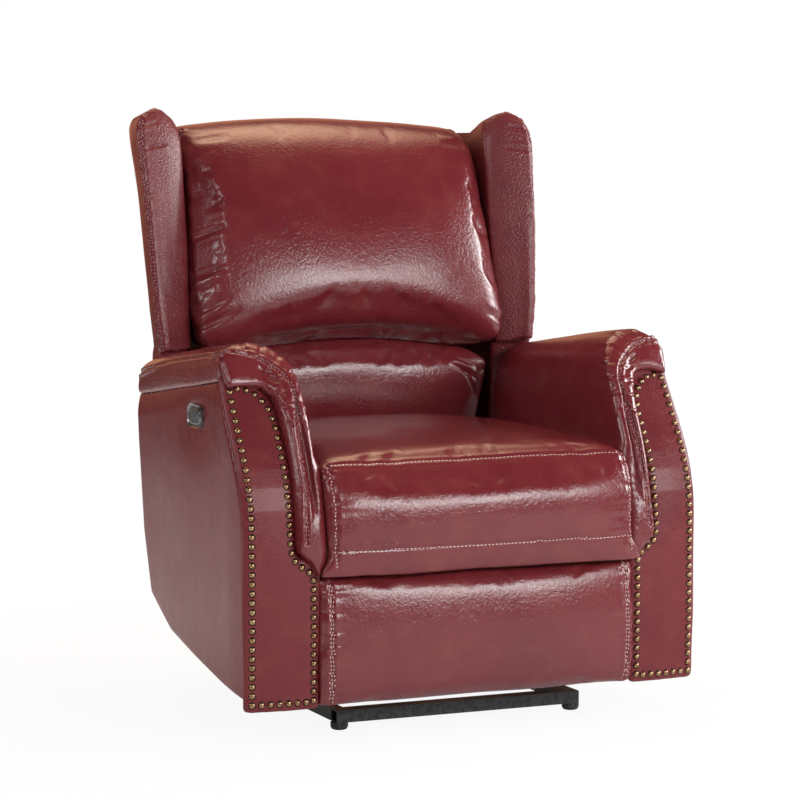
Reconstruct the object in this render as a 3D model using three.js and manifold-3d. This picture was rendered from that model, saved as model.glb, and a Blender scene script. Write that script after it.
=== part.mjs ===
// Wingback power recliner, modelled as the pieces that come apart on a bench.
// Millimetres. X runs across the chair, Z is up, and Y runs rearwards. Inside the chair group Y is the
// distance behind the arms' front panels, and Z is the height above a datum just below the floor. The
// group is then moved so that the origin lies on the floor under the middle of the chair.
// "left" is the -X side, as seen from in front of the chair.
import * as THREE from 'three';
import { mergeVertices } from 'three/addons/utils/BufferGeometryUtils.js';
import Module from 'manifold-3d';

const wasm = await Module();
wasm.setup();

// Driving dimensions
const GAP = 0.3; // between pieces that touch
const FRONT_TO_MIDDLE = 369.4; // from the arms' front panels to the middle of the chair's depth
const FLOOR = 6; // height of the floor above the datum

const ARM = {
  outer: 386, // half the width over the outer panels
  inner: 262.5, // inner face of the pads, beside the seat
  panelInner: 308, // inner edge of the front panel beside the pad
  panelFoot: 270, // inner edge of the front panel below the pad
  padBottom: 275,
  bandBottom: 553, // lower edge of the pad's outer band, at the front
  crown: 618, // top of the pad, at the front
  fall: 0.12, // the pad's fall towards the rear, per mm
  rear: 511,
  panelThickness: 15,
};
const SEAT = { half: 260, rear: 512, underside: 362, lip: 262 };
const BACK = {
  foot: 215, // lower end of the back
  top: 950,
  rearAtFoot: 616, // depth of the rear face at the foot
  lean: THREE.MathUtils.degToRad(13),
  halfAtFoot: 265,
  halfAtTop: 306,
  panelThickness: 14,
  frameThickness: 40,
};
const WING = { outer: 346, inner: 286, foot: 300, top: 990, arm: 574 }; // arm: height just over the arm pads
const BASE = { outer: 212, rail: 20, bottom: 18, top: 38, front: 60, rear: 546, bar: 26, glide: 203 };

// The steel side mechanism. Every link is a flat bar, and the bars lie side by side in layers, counted
// inwards from the side plate.
const STEEL = 4;
const PLATE_INNER = 255;
const layerInner = (layer) => PLATE_INNER - layer * (STEEL + 2);
const LAYER = { guide: 1, reach: 2, swing: 3, control: 4 };
const PIN = 5; // radius of the link pins
const HOLE = 5.7; // radius of a running hole round such a pin

// Pivots, as [Y, Z] with the footrest closed
const DRIVE_PIVOT = [120, 236];
const SWING_LENGTH = 176;
const SWING_ANGLE = THREE.MathUtils.degToRad(296.3);
const REACH_LENGTH = 176;
const REACH_ANGLE = THREE.MathUtils.degToRad(142.6);
const GUIDE_PIVOT = [83.7, 247.1];
const BACK_PIVOT = [575, 262];
const TILT_PIVOT = [290, 110];
const GUIDE_PIN = [520, 135]; // runs in the curved slot of the base bracket
const TILT_RANGE = THREE.MathUtils.degToRad(5);
const DRIVE_TUBE = 11; // radius
const CRANK_RADIUS = 60;
const CRANK_ANGLE = THREE.MathUtils.degToRad(330.5);
const CROSS_TUBE = [430, 225];

// Finishes: colour, roughness and metalness
const FINISH = {
  leather: [0x70262c, 0.32, 0],
  pebbledLeather: [0x6a262b, 0.5, 0],
  blackSteel: [0x1b1c1e, 0.5, 0.6],
  zincSteel: [0x8d9094, 0.4, 0.9],
  antiqueBrass: [0x8a6d3f, 0.35, 0.9],
  board: [0xb08a5c, 0.75, 0],
  darkPlastic: [0x22282b, 0.25, 0.1],
  motorPlastic: [0x1c1c1e, 0.55, 0],
};

const chair = new THREE.Group();
chair.position.set(0, -FRONT_TO_MIDDLE, -FLOOR);

function add(name, geometry, finish) {
  const [color, roughness, metalness] = FINISH[finish];
  const mesh = new THREE.Mesh(geometry, new THREE.MeshStandardMaterial({ color, roughness, metalness }));
  mesh.name = name;
  chair.add(mesh);
}

// Adds a piece made for the right side, and its mirror image on the left
function addPair(name, geometry, finish) {
  add(`${name}_right`, geometry, finish);
  add(`${name}_left`, mirrored(geometry), finish);
}

// Shape helpers
const smoothstep = THREE.MathUtils.smoothstep;

function fromTriangles(positions, index) {
  const geometry = new THREE.BufferGeometry();
  geometry.setAttribute('position', new THREE.Float32BufferAttribute(positions, 3));
  geometry.setIndex(index);
  geometry.computeVertexNormals();
  return geometry;
}

function welded(geometry) {
  const copy = geometry.clone();
  copy.deleteAttribute('normal');
  copy.deleteAttribute('uv');
  const merged = mergeVertices(copy, 1e-3);
  const kept = [];
  for (let i = 0; i < merged.index.count; i += 3) {
    const corners = [0, 1, 2].map((k) => merged.index.getX(i + k));
    if (new Set(corners).size === 3) kept.push(...corners);
  }
  return merged.setIndex(kept);
}

function mirrored(geometry) {
  const source = welded(geometry);
  const index = [];
  for (let i = 0; i < source.index.count; i += 3) {
    index.push(source.index.getX(i), source.index.getX(i + 2), source.index.getX(i + 1));
  }
  source.scale(-1, 1, 1);
  return fromTriangles(Array.from(source.attributes.position.array), index);
}

function solid(geometry) {
  const source = welded(geometry);
  const mesh = new wasm.Mesh({
    numProp: 3,
    vertProperties: new Float32Array(source.attributes.position.array),
    triVerts: new Uint32Array(source.index.array),
  });
  return new wasm.Manifold(mesh);
}

function fromSolid(result) {
  const mesh = result.getMesh();
  return fromTriangles(Array.from(mesh.vertProperties), Array.from(mesh.triVerts));
}

const join = (first, ...others) =>
  fromSolid(others.reduce((sum, each) => sum.add(solid(each)), solid(first)));
const cut = (first, ...tools) =>
  fromSolid(tools.reduce((rest, each) => rest.subtract(solid(each)), solid(first)));

function signedArea(points) {
  return points.reduce((sum, [x, y], i) => {
    const [nextX, nextY] = points[(i + 1) % points.length];
    return sum + (x * nextY - nextX * y) / 2;
  }, 0);
}

// At each point of an outline, the direction square to its neighbours' line and away from the inside
function outwardNormals(outline) {
  const turn = Math.sign(signedArea(outline));
  return outline.map((point, i) => {
    const [a1, b1] = outline[(i + outline.length - 1) % outline.length];
    const [a2, b2] = outline[(i + 1) % outline.length];
    const length = turn * Math.hypot(a2 - a1, b2 - b1);
    return [(b2 - b1) / length, -(a2 - a1) / length];
  });
}

// A cap over a ring, turned the way the ring runs, or against it. The ring is cut into triangles as it
// looks along the axis that shows the most of it.
function capTriangles(ring, offset, along) {
  const views = [0, 1, 2].map((axis) => ring.map((point) => point.filter((value, i) => i !== axis)));
  const shown = views.map((view) => Math.abs(signedArea(view)));
  const flat = views[shown.indexOf(Math.max(...shown))];
  const ringTurn = Math.sign(signedArea(flat));
  const contour = flat.map(([x, y]) => new THREE.Vector2(x, y));
  return THREE.ShapeUtils.triangulateShape(contour, []).flatMap(([a, b, c]) => {
    const sameTurn = Math.sign(signedArea([flat[a], flat[b], flat[c]])) === ringTurn;
    return (sameTurn === along ? [a, b, c] : [a, c, b]).map((corner) => corner + offset);
  });
}

// A closed skin over rings with the same number of points: capped at both ends, or joined into a loop
function loft(rings, loop = false) {
  const count = rings[0].length;
  const index = [];
  const spans = loop ? rings.length : rings.length - 1;
  for (let i = 0; i < spans; i += 1) {
    const here = i * count;
    const there = ((i + 1) % rings.length) * count;
    for (let j = 0; j < count; j += 1) {
      const k = (j + 1) % count;
      index.push(here + j, here + k, there + k, here + j, there + k, there + j);
    }
  }
  if (!loop) {
    index.push(...capTriangles(rings[0], 0, false));
    index.push(...capTriangles(rings.at(-1), (rings.length - 1) * count, true));
  }
  const positions = rings.flat(2);
  return volume(positions, index) < 0
    ? fromTriangles(positions, index.reverse())
    : fromTriangles(positions, index);
}

function volume(positions, index) {
  const corner = (i) => new THREE.Vector3().fromArray(positions, index[i] * 3);
  let sum = 0;
  for (let i = 0; i < index.length; i += 3) {
    sum += corner(i).dot(corner(i + 1).cross(corner(i + 2))) / 6;
  }
  return sum;
}

const box = (x1, x2, y1, y2, z1, z2) =>
  new THREE.BoxGeometry(x2 - x1, y2 - y1, z2 - z1).translate((x1 + x2) / 2, (y1 + y2) / 2, (z1 + z2) / 2);

const circlePath = ([y, z], radius) => new THREE.Path().absarc(y, z, radius, 0, Math.PI * 2, false);

// An outline through the points, turned counterclockwise as the extrusion expects
function polygon(points) {
  const ordered = signedArea(points) < 0 ? [...points].reverse() : points;
  return new THREE.Shape(ordered.map(([a, b]) => new THREE.Vector2(a, b)));
}

// A flat piece drawn in Y and Z, with its holes, and extruded along X from x to x + thickness
function plate(outline, x, thickness, holes = [], bevel = 0) {
  const shape = outline instanceof THREE.Shape ? outline : polygon(outline);
  shape.holes.push(...holes);
  const geometry = new THREE.ExtrudeGeometry(shape, {
    depth: thickness - 2 * bevel,
    bevelEnabled: bevel > 0,
    bevelThickness: bevel,
    bevelSize: bevel,
    bevelOffset: -bevel,
    bevelSegments: 1,
    curveSegments: 6,
  });
  const axes = new THREE.Matrix4().makeBasis(
    new THREE.Vector3(0, 1, 0),
    new THREE.Vector3(0, 0, 1),
    new THREE.Vector3(1, 0, 0),
  );
  return geometry.applyMatrix4(axes).translate(x + bevel, 0, 0);
}

// A straight bar's outline with round ends
function barShape([y1, z1], [y2, z2], radius) {
  const along = Math.atan2(z2 - z1, y2 - y1);
  return new THREE.Shape()
    .absarc(y2, z2, radius, along - Math.PI / 2, along + Math.PI / 2, false)
    .absarc(y1, z1, radius, along + Math.PI / 2, along + Math.PI * 1.5, false);
}

const stud = ([y, z], radius, x1, x2, sides = 12) =>
  new THREE.CylinderGeometry(radius, radius, x2 - x1, sides)
    .rotateZ(Math.PI / 2)
    .translate((x1 + x2) / 2, y, z);

// A point at a distance along a direction and across it, to the left
const offsetBy = ([y, z], angle, along, across = 0) => [
  y + along * Math.cos(angle) - across * Math.sin(angle),
  z + along * Math.sin(angle) + across * Math.cos(angle),
];

// Steel base on the floor
function squareTube(x1, x2, y1, y2) {
  const { bottom, top } = BASE;
  const wall = 2;
  const alongX = x2 - x1 > y2 - y1;
  const bore = alongX
    ? box(x1 - 1, x2 + 1, y1 + wall, y2 - wall, bottom + wall, top - wall)
    : box(x1 + wall, x2 - wall, y1 - 1, y2 + 1, bottom + wall, top - wall);
  return cut(box(x1, x2, y1, y2, bottom, top), bore);
}

function buildBase() {
  const { outer, rail, bottom, front, rear, bar, glide } = BASE;
  const rearBar = rear - bar;
  addPair('base_rail', squareTube(outer - rail, outer, front + bar + GAP, rearBar - GAP), 'blackSteel');
  const profile = [[0, FLOOR], [9, FLOOR], [12, FLOOR + 1.2], [14, FLOOR + 5], [14, bottom - GAP],
    [0, bottom - GAP]];
  for (const [end, y] of [['front', front], ['rear', rearBar]]) {
    add(`${end}_crossbar`, squareTube(-outer, outer, y, y + bar), 'blackSteel');
    const foot = new THREE.LatheGeometry(profile.map(([r, z]) => new THREE.Vector2(r, z)), 16)
      .rotateX(Math.PI / 2)
      .translate(glide, y + bar / 2, 0);
    addPair(`glide_${end}`, foot, 'blackSteel');
  }
}

// One plate on each base rail carries the seat: a pivot eye in front, a curved slot behind
function buildTiltBrackets() {
  const x = layerInner(LAYER.guide);
  const foot = BASE.top + GAP;
  const radius = Math.hypot(GUIDE_PIN[0] - TILT_PIVOT[0], GUIDE_PIN[1] - TILT_PIVOT[1]);
  const pinAngle = Math.atan2(GUIDE_PIN[1] - TILT_PIVOT[1], GUIDE_PIN[0] - TILT_PIVOT[0]);
  const spare = 0.012; // radians of slot beyond each end of the pin's travel
  const high = pinAngle + spare;
  const low = pinAngle - TILT_RANGE - spare;
  const half = HOLE + 0.4;
  const slot = new THREE.Path()
    .absarc(...TILT_PIVOT, radius + half, low, high, false)
    .absarc(...offsetBy(TILT_PIVOT, high, radius), half, high, high + Math.PI, false)
    .absarc(...TILT_PIVOT, radius - half, high, low, true)
    .absarc(...offsetBy(TILT_PIVOT, low, radius), half, low + Math.PI, low + Math.PI * 2, false);
  const outline = [
    [240, foot], [240, 48], [274, 110], [280, 122], [300, 122], [306, 112], [500, 112], [500, 152],
    [506, 158], [534, 158], [540, 152], [540, 90], [500, foot],
  ];
  const web = plate(outline, x, STEEL, [circlePath(TILT_PIVOT, HOLE + 0.4), slot]);
  const flange = box(BASE.outer - BASE.rail + 2, x + 1, 240, 500, foot, foot + 3);
  addPair('tilt_bracket', join(web, flange), 'blackSteel');
}

// Side plates, cross tube and arm brackets carry everything that tilts with the seat
function buildSidePlates() {
  const outline = [
    [66, 236], [70, 258], [84, 266], [570, 280], [588, 276], [595, 262], [588, 247], [560, 240],
    [540, 226], [534, 138], [528, 124], [512, 124], [506, 138], [492, 214], [334, 208], [308, 112],
    [300, 98], [280, 98], [272, 112], [248, 208], [120, 214], [84, 222],
  ];
  const holes = [circlePath(DRIVE_PIVOT, 8.3), circlePath(BACK_PIVOT, 6.9), circlePath(CROSS_TUBE, 11.5)];
  const guideInner = layerInner(LAYER.guide);
  const side = join(
    plate(outline, PLATE_INNER, STEEL, holes),
    stud(TILT_PIVOT, PIN, guideInner - 2, PLATE_INNER + 1),
    stud(GUIDE_PIN, PIN, guideInner - 2, PLATE_INNER + 1),
    stud(GUIDE_PIVOT, PIN, guideInner - 1, PLATE_INNER + 1),
  );
  addPair('side_plate', side, 'zincSteel');
  const plateOuter = PLATE_INNER + STEEL;
  addPair('arm_bracket', box(plateOuter + GAP, 272 - GAP, 150, 400, 222, 252), 'zincSteel');
  addPair('back_hinge_pin', stud(BACK_PIVOT, 6.2, 248.5, plateOuter + 2), 'zincSteel');
  add('cross_tube', stud(CROSS_TUBE, 11, -plateOuter - 1, plateOuter + 1, 16), 'zincSteel');
}

// Footrest linkage, on both sides of the chair
function link(ends, layer, radius, holes, studs = []) {
  const x = layerInner(layer);
  const bar = plate(barShape(...ends, radius), x, STEEL, holes.map(([at, size]) => circlePath(at, size)));
  return studs.length ? join(bar, ...studs) : bar;
}

function buildFootrestLinkage() {
  const swingEnd = offsetBy(DRIVE_PIVOT, SWING_ANGLE, SWING_LENGTH);
  const reachEnd = offsetBy(swingEnd, REACH_ANGLE, REACH_LENGTH);
  const guideEnd = offsetBy(swingEnd, REACH_ANGLE, 34.9, 7.5);
  const controlStart = offsetBy(swingEnd, SWING_ANGLE, -21.4, 3.2);
  const controlEnd = [reachEnd[0] + 1.5, reachEnd[1] + 26];
  const rodAt = offsetBy(swingEnd, REACH_ANGLE, 60, 22);
  const [swingX, reachX, guideX, controlX] =
    [LAYER.swing, LAYER.reach, LAYER.guide, LAYER.control].map(layerInner);
  const swing = link([DRIVE_PIVOT, swingEnd], LAYER.swing, 13, [[DRIVE_PIVOT, 7.9]], [
    stud(swingEnd, PIN, swingX + 1, reachX + STEEL + 1),
    stud(controlStart, PIN - 1, controlX - 1, swingX + 1),
  ]);
  addPair('swing_link', swing, 'zincSteel');
  const bar = link([swingEnd, reachEnd], LAYER.reach, 12, [[swingEnd, HOLE], [reachEnd, HOLE]]);
  const lugStart = offsetBy(swingEnd, REACH_ANGLE, 60);
  const lug = plate(barShape(lugStart, rodAt, 11), reachX, STEEL, [circlePath(rodAt, 6.6)]);
  const lugCut = cut(lug, stud(lugStart, 6, reachX - 1, reachX + STEEL + 1));
  const reach = join(bar, lugCut, plate(barShape(lugStart, guideEnd, 6), reachX, STEEL),
    stud(guideEnd, PIN - 1, reachX + 1, guideX + STEEL + 1));
  addPair('reach_link', reach, 'zincSteel');
  add('stabilizer_rod', stud(rodAt, 6, -reachX - STEEL, reachX + STEEL), 'zincSteel');
  addPair('guide_link', link([GUIDE_PIVOT, guideEnd], LAYER.guide, 11,
    [[GUIDE_PIVOT, HOLE], [guideEnd, 7.2]]), 'zincSteel');
  addPair('control_link', link([controlStart, controlEnd], LAYER.control, 12,
    [[controlStart, 8.2], [controlEnd, HOLE]]), 'zincSteel');
  buildFootrestBracket(reachEnd, controlEnd, { swingX, reachX, controlX });
  buildDriveTube();
}

function buildFootrestBracket(reachEnd, controlEnd, { swingX, reachX, controlX }) {
  const boardBack = 38;
  const [ry, rz] = reachEnd;
  const outline = [
    [boardBack + GAP, 92], [boardBack + 16, 92], [boardBack + 16, 150], [ry + 12, rz - 12],
    [ry + 15, rz], [controlEnd[0] + 13, controlEnd[1]], [controlEnd[0] + 6, controlEnd[1] + 12],
    [controlEnd[0] - 6, controlEnd[1] + 12], [boardBack + GAP, controlEnd[1] + 6],
  ];
  const web = plate(outline, swingX, STEEL);
  const flange = box(swingX - 24, swingX + 1, boardBack + GAP, boardBack + 3, 96, 205);
  const bracket = join(web, flange, stud(reachEnd, PIN, swingX + 1, reachX + STEEL + 1),
    stud(controlEnd, PIN, controlX - 1, swingX + 1));
  addPair('footrest_bracket', bracket, 'zincSteel');
}

// A tube across the chair turns both swing links, and its crank is pushed by the actuator's slider
function buildDriveTube() {
  const end = PLATE_INNER + STEEL + 1;
  const shoulder = layerInner(LAYER.swing) - GAP;
  const profile = [[0, -end], [7.5, -end], [7.5, -shoulder], [DRIVE_TUBE, -shoulder],
    [DRIVE_TUBE, shoulder], [7.5, shoulder], [7.5, end], [0, end]];
  const tube = new THREE.LatheGeometry(profile.map(([r, x]) => new THREE.Vector2(r, x)), 12)
    .rotateZ(-Math.PI / 2)
    .translate(0, ...DRIVE_PIVOT);
  const crankPin = offsetBy(DRIVE_PIVOT, CRANK_ANGLE, CRANK_RADIUS);
  const crank = plate(barShape(DRIVE_PIVOT, crankPin, 9), -5, 10);
  add('drive_tube', join(tube, crank, stud(crankPin, 4, -15, 15)), 'zincSteel');
}

// Actuator under the seat: motor, track and a slider with an upright slot on each side of the crank
function buildActuator() {
  const track = { half: 12, bottom: 140, top: 156, front: 48, rear: 330 };
  const { half, bottom, top, front, rear } = track;
  add('actuator_track', box(-half, half, front, rear, bottom, top), 'zincSteel');
  const crankPinY = offsetBy(DRIVE_PIVOT, CRANK_ANGLE, CRANK_RADIUS)[0];
  const outer = 17;
  const saddle = cut(
    box(-outer, outer, crankPinY - 22, crankPinY + 22, bottom - 2, 165),
    box(-half - 0.6, half + 0.6, crankPinY - 23, crankPinY + 23, bottom - 3, top + 0.6),
  );
  const slotHalf = 8.6; // wide enough for the crank pin's departure from an even travel
  const slot = polygon([
    [crankPinY - slotHalf, 169], [crankPinY + slotHalf, 169],
    [crankPinY + slotHalf, 212], [crankPinY - slotHalf, 212],
  ]);
  const cheekOutline = [
    [crankPinY - 20, 160], [crankPinY + 20, 160], [crankPinY + 14, 218], [crankPinY - 14, 218],
  ];
  const cheeks = [-13, 8].map((x) => plate(cheekOutline, x, 5, [slot.clone()]));
  add('actuator_slider', join(saddle, ...cheeks), 'motorPlastic');
  const motorOutline = new THREE.Shape()
    .moveTo(330 + GAP, 124).lineTo(452, 120).quadraticCurveTo(474, 122, 474, 150)
    .lineTo(474, 172).quadraticCurveTo(474, 186, 460, 188).lineTo(350, 188)
    .quadraticCurveTo(330 + GAP, 186, 330 + GAP, 168);
  const clevisOutline = [[410, 180], [450, 180], [446, 240], [414, 240]];
  const clevis = plate(clevisOutline, -14, 28, [circlePath(CROSS_TUBE, DRIVE_TUBE + 0.6)]);
  add('actuator_motor', join(plate(motorOutline, -32, 64, [], 4), clevis), 'motorPlastic');
  const socket = polygon([[-11, 138], [11, 138], [11, 160], [-11, 160]]);
  socket.holes.push(circlePath([0, 149], 5.5));
  const depth = 14;
  const inlet = new THREE.ExtrudeGeometry(socket, { depth, bevelEnabled: false, curveSegments: 6 })
    .rotateX(Math.PI / 2)
    .translate(0, 474 + GAP + depth, 0);
  add('power_inlet', inlet, 'motorPlastic');
}

// Wooden seat frame with its springs
function buildSeatFrame() {
  const outer = PLATE_INNER - GAP;
  const inner = 218;
  const top = SEAT.underside - 2;
  const rails = box(-outer, outer, 0, 500, 280, top);
  const well = box(-inner, inner, 24, 468, 270, top + 1);
  add('seat_frame', cut(rails, well), 'board');
  const clip = { front: 26, rear: 466, bottom: 330, top: 338 };
  const clips = [box(-206, 206, clip.front - 1, clip.front + 3, clip.bottom, clip.top),
    box(-206, 206, clip.rear - 3, clip.rear + 1, clip.bottom, clip.top)];
  const springs = [-150, -50, 50, 150].map((x) => zigzagSpring(x, clip.front, clip.rear, 334));
  add('seat_springs', join(...clips, ...springs), 'zincSteel');
}

function zigzagSpring(centre, front, rear, height) {
  const waves = 9;
  const reach = 20;
  const points = [];
  for (let i = 0; i <= waves; i += 1) {
    const across = i === 0 || i === waves ? 0 : reach * (i % 2 ? 1 : -1);
    const along = i / waves;
    const arch = 14 * Math.sin(Math.PI * along);
    points.push(new THREE.Vector3(centre + across, THREE.MathUtils.lerp(front, rear, along), height + arch));
  }
  const wire = new THREE.Shape().absarc(0, 0, 2.2, 0, Math.PI * 2);
  const path = new THREE.CatmullRomCurve3(points, false, 'catmullrom', 0.7);
  return new THREE.ExtrudeGeometry(wire, { steps: 27, extrudePath: path, curveSegments: 2 });
}

// Padded forms. An outline row is [Y, Z, crown, end drop, half width]: the point at the middle of the
// cushion, how far it swells there, how far it sinks at the ends and how far out the ends lie.
const STATIONS = [0, 0.3, 0.58, 0.8, 0.92, 0.98, 1];

function padded(outline, endRound) {
  const normals = outwardNormals(outline);
  const ringAt = (u) => {
    const distance = Math.abs(u);
    const rounding = endRound * smoothstep(distance, 0.86, 1) ** 2;
    return outline.map(([y, z, crown, drop, half], i) => {
      const inset = crown * distance ** 3 + rounding;
      return [u * half, y - normals[i][0] * inset, z - normals[i][1] * inset - drop * u * u];
    });
  };
  const left = STATIONS.slice(1).reverse().map((u) => -u);
  return loft([...left, ...STATIONS].map(ringAt));
}

function buildSeatCushion() {
  const { half, rear, underside, lip } = SEAT;
  const w = half;
  const outline = [
    [-4, lip, 0, 0, w - 3], [-24, lip, 0, 0, w - 3], [-33, 282, 3, 0, w - 1], [-36, 303, 5, 0, w],
    [-44, 330, 12, 0, w], [-47, 366, 14, 0, w], [-40, 402, 12, 0, w], [-24, 426, 8, 0, w],
    [-4, 438, 5, 2, w], [50, 447, 10, 4, w], [140, 455, 14, 5, w], [270, 459, 15, 6, w],
    [400, 458, 14, 6, w], [478, 450, 10, 4, w - 2], [rear, 430, 4, 0, w - 4], [rear, 385, 0, 0, w - 5],
    [rear - 8, underside + GAP, 0, 0, w - 6], [250, underside + GAP, 0, 0, w - 5],
    [-4, underside + GAP, 0, 0, w - 4],
  ];
  add('seat_cushion', padded(outline, 9), 'leather');
}

function buildFootrest() {
  const w = 270;
  const outline = [
    [20, 66, 0, 0, w - 4], [0, 61, 0, 0, w - 2], [-12, 64, 2, 0, w], [-22, 80, 8, 0, w],
    [-30, 115, 14, 0, w], [-34, 160, 16, 0, w], [-32, 205, 15, 0, w], [-24, 240, 9, 0, w],
    [-13, 256, 2, 0, w], [0, 259, 0, 0, w - 2], [20, 255, 0, 0, w - 4],
  ];
  add('footrest_pad', padded(outline, 5), 'leather');
  add('footrest_board', box(-258, 258, 20 + GAP, 38, 70, 250), 'board');
}

// Back: a leaning rear face, a wooden frame before it, cushions and wings
const rearFace = (z) => BACK.rearAtFoot + (z - BACK.foot) * Math.tan(BACK.lean);
const backHalf = (z) =>
  THREE.MathUtils.mapLinear(z, BACK.foot, BACK.top, BACK.halfAtFoot, BACK.halfAtTop);

// A flat piece drawn across the back, leaning with it, and as thick as given in front of the rear face
function leaning(shape, inFront, thickness) {
  return new THREE.ExtrudeGeometry(shape, { depth: thickness, bevelEnabled: false, curveSegments: 4 })
    .rotateX(Math.PI / 2)
    .rotateX(-BACK.lean)
    .translate(0, BACK.rearAtFoot - inFront / Math.cos(BACK.lean), BACK.foot);
}

function buildBackFrame() {
  const belowTop = 66; // the cushion's top closes over the frame
  const length = (BACK.top - belowTop - BACK.foot) / Math.cos(BACK.lean);
  const rail = 42;
  const half = 248;
  const shape = polygon([[-half, 4], [half, 4], [half, length], [-half, length]]);
  const windows = [[46, 330], [372, length - rail]];
  for (const [low, high] of windows) {
    const side = half - rail;
    shape.holes.push(polygon([[-side, low], [side, low], [side, high], [-side, high]]));
  }
  add('back_frame', leaning(shape, BACK.panelThickness + 2, BACK.frameThickness), 'board');
  const x = layerInner(LAYER.guide);
  const [hy, hz] = BACK_PIVOT;
  const post = (z) => rearFace(z) - BACK.panelThickness - 28;
  const bracket = plate([
    [hy - 14, hz - 8], [hy, hz - 15], [hy + 14, hz - 8], [post(330) + 16, 330], [post(470) + 14, 470],
    [post(470) - 14, 476], [post(330) - 16, 330],
  ], x, STEEL, [circlePath(BACK_PIVOT, 7)]);
  addPair('back_bracket', bracket, 'zincSteel');
}

function buildBackPanel() {
  const length = (BACK.top - BACK.foot) / Math.cos(BACK.lean);
  const { halfAtFoot: foot, halfAtTop: top } = BACK;
  const corner = 40;
  const shoulder = length - 14; // the top edge rises towards its middle
  const shape = new THREE.Shape()
    .moveTo(-foot, 0).lineTo(foot, 0).lineTo(top, shoulder - corner)
    .quadraticCurveTo(top, shoulder - 6, top - corner, shoulder)
    .quadraticCurveTo(0, length + 14, corner - top, shoulder)
    .quadraticCurveTo(-top, shoulder - 6, -top, shoulder - corner);
  add('back_panel', leaning(shape, 0, BACK.panelThickness), 'leather');
}

function buildBackCushions() {
  const frameFront = (z) => rearFace(z) - 68;
  const panelFront = (z) => rearFace(z) - BACK.panelThickness - 3;
  const upper = [
    [486, 606, 6, 31, 280], [466, 632, 20, 28, 284], [462, 672, 34, 14, 289], [472, 730, 42, 4, 290],
    [494, 795, 42, 4, 287], [522, 855, 36, 8, 283], [556, 908, 26, 14, 278], [590, 944, 14, 20, 275],
    [628, 962, 6, 22, 274], [672, 966, 2, 22, 274], [724, 964, 0, 20, 274], [752, 954, 0, 16, 274],
    [panelFront(936), 936, 0, 8, 272], [panelFront(905), 903, 0, 0, 270], [frameFront(900), 900, 0, 0, 266],
    [frameFront(760), 760, 0, 0, 262], [frameFront(640), 640, 0, 10, 258], [frameFront(600), 604, 0, 28, 258],
    [560, 596, 0, 31, 268], [516, 597, 0, 31, 274],
  ];
  add('back_cushion', padded(upper, 12), 'leather');
  const lower = [
    [524, 305, 0, 0, 246], [519, 345, 2, 0, 250], [518, 400, 3, 0, 254], [516, 440, 4, 0, 256],
    [505, 474, 12, 4, 262], [495, 512, 24, 10, 270], [493, 550, 26, 20, 274], [502, 580, 18, 30, 274],
    [524, 591, 4, 31, 272], [560, 590, 0, 31, 268], [frameFront(590), 588, 0, 31, 258],
    [frameFront(500), 500, 0, 6, 256], [frameFront(400), 400, 0, 0, 250], [frameFront(310), 308, 0, 0, 246],
  ];
  add('lumbar_cushion', padded(lower, 10), 'leather');
}

// A wing is a padded board: a canted front face, a short outer side, then a long taper to the rear.
// Above the arm pad its front face comes forward over the pad's rear end, and leans back further up.
function wingFace(z) {
  const above = z - WING.arm;
  return above < 0 ? 517 : 500 + 0.058 * above + 0.000253 * above ** 2;
}

const wingOuter = (z) => WING.outer + 0.048 * Math.max(0, z - WING.arm);

function wingPlan(z) {
  const { inner } = WING;
  const outer = wingOuter(z);
  const y = wingFace(z);
  const rear = rearFace(z) - BACK.panelThickness / Math.cos(BACK.lean) - 1;
  const rearOuter = backHalf(z);
  const rearInner = rearOuter - 18;
  const middle = (y + 60 + rear) / 2;
  return [
    [inner - 2, y + 31], [inner + 12, y + 20], [inner + 40, y + 7], [outer - 12, y - 1],
    [outer - 3, y + 1], [outer, y + 8], [outer - 1, y + 44], [outer - 6, y + 60],
    [(outer + rearOuter) / 2, middle], [rearOuter, rear], [rearInner, rear],
    [(inner + rearInner) / 2 + 4, middle], [inner, y + 58],
  ];
}

function buildWings() {
  const { foot, top, arm } = WING;
  const ridge = 328; // how far out the highest line of the wing's top lies
  const levels = [[foot, 6], [foot + 8, 0], [420, 0], [arm - 2, 0], [arm + 4, 3], [arm + 8, 0], [640, 0],
    [700, 0], [780, 0], [850, 0], [900, 0], [936, 0], [962, 1], [978, 4], [top, 12]];
  const rings = levels.map(([z, inset]) => {
    const plan = wingPlan(z);
    const centre = [0, 1].map((axis) => plan.reduce((sum, point) => sum + point[axis], 0) / plan.length);
    const rounding = smoothstep(z, 850, top);
    return plan.map(([x, y]) => {
      const scale = 1 - inset / Math.hypot(x - centre[0], y - centre[1]);
      const px = centre[0] + (x - centre[0]) * scale;
      const py = centre[1] + (y - centre[1]) * scale;
      const side = px < ridge ? (ridge - px) * 0.55 : 0.03 * (px - ridge) ** 2;
      const drop = rounding * (side + (py - wingFace(z)) * 0.12);
      return [px, py - drop * Math.tan(BACK.lean), z - drop];
    });
  });
  addPair('wing', loft(rings), 'pebbledLeather');
}

// Arms: a wooden box, an outer and a front panel, and a pad over the top, inner side and front
function armFace(z) {
  const bend = Math.min(Math.max(z - 330, 0), 120);
  return -5 + 0.0027 * bend ** 2 + 0.64 * Math.max(0, z - 450);
}

// The front panel's face also turns in slightly below the pad
function panelFace(x, z) {
  return armFace(z) - 8 * (1 - smoothstep(z, 290, 340)) * (ARM.outer - x) / (ARM.outer - ARM.panelFoot);
}

const padFront = (z) => -26 + 0.0015 * Math.max(0, z - 300) ** 2;
const padFall = (y) => ARM.fall * Math.max(0, y - 100);

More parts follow.
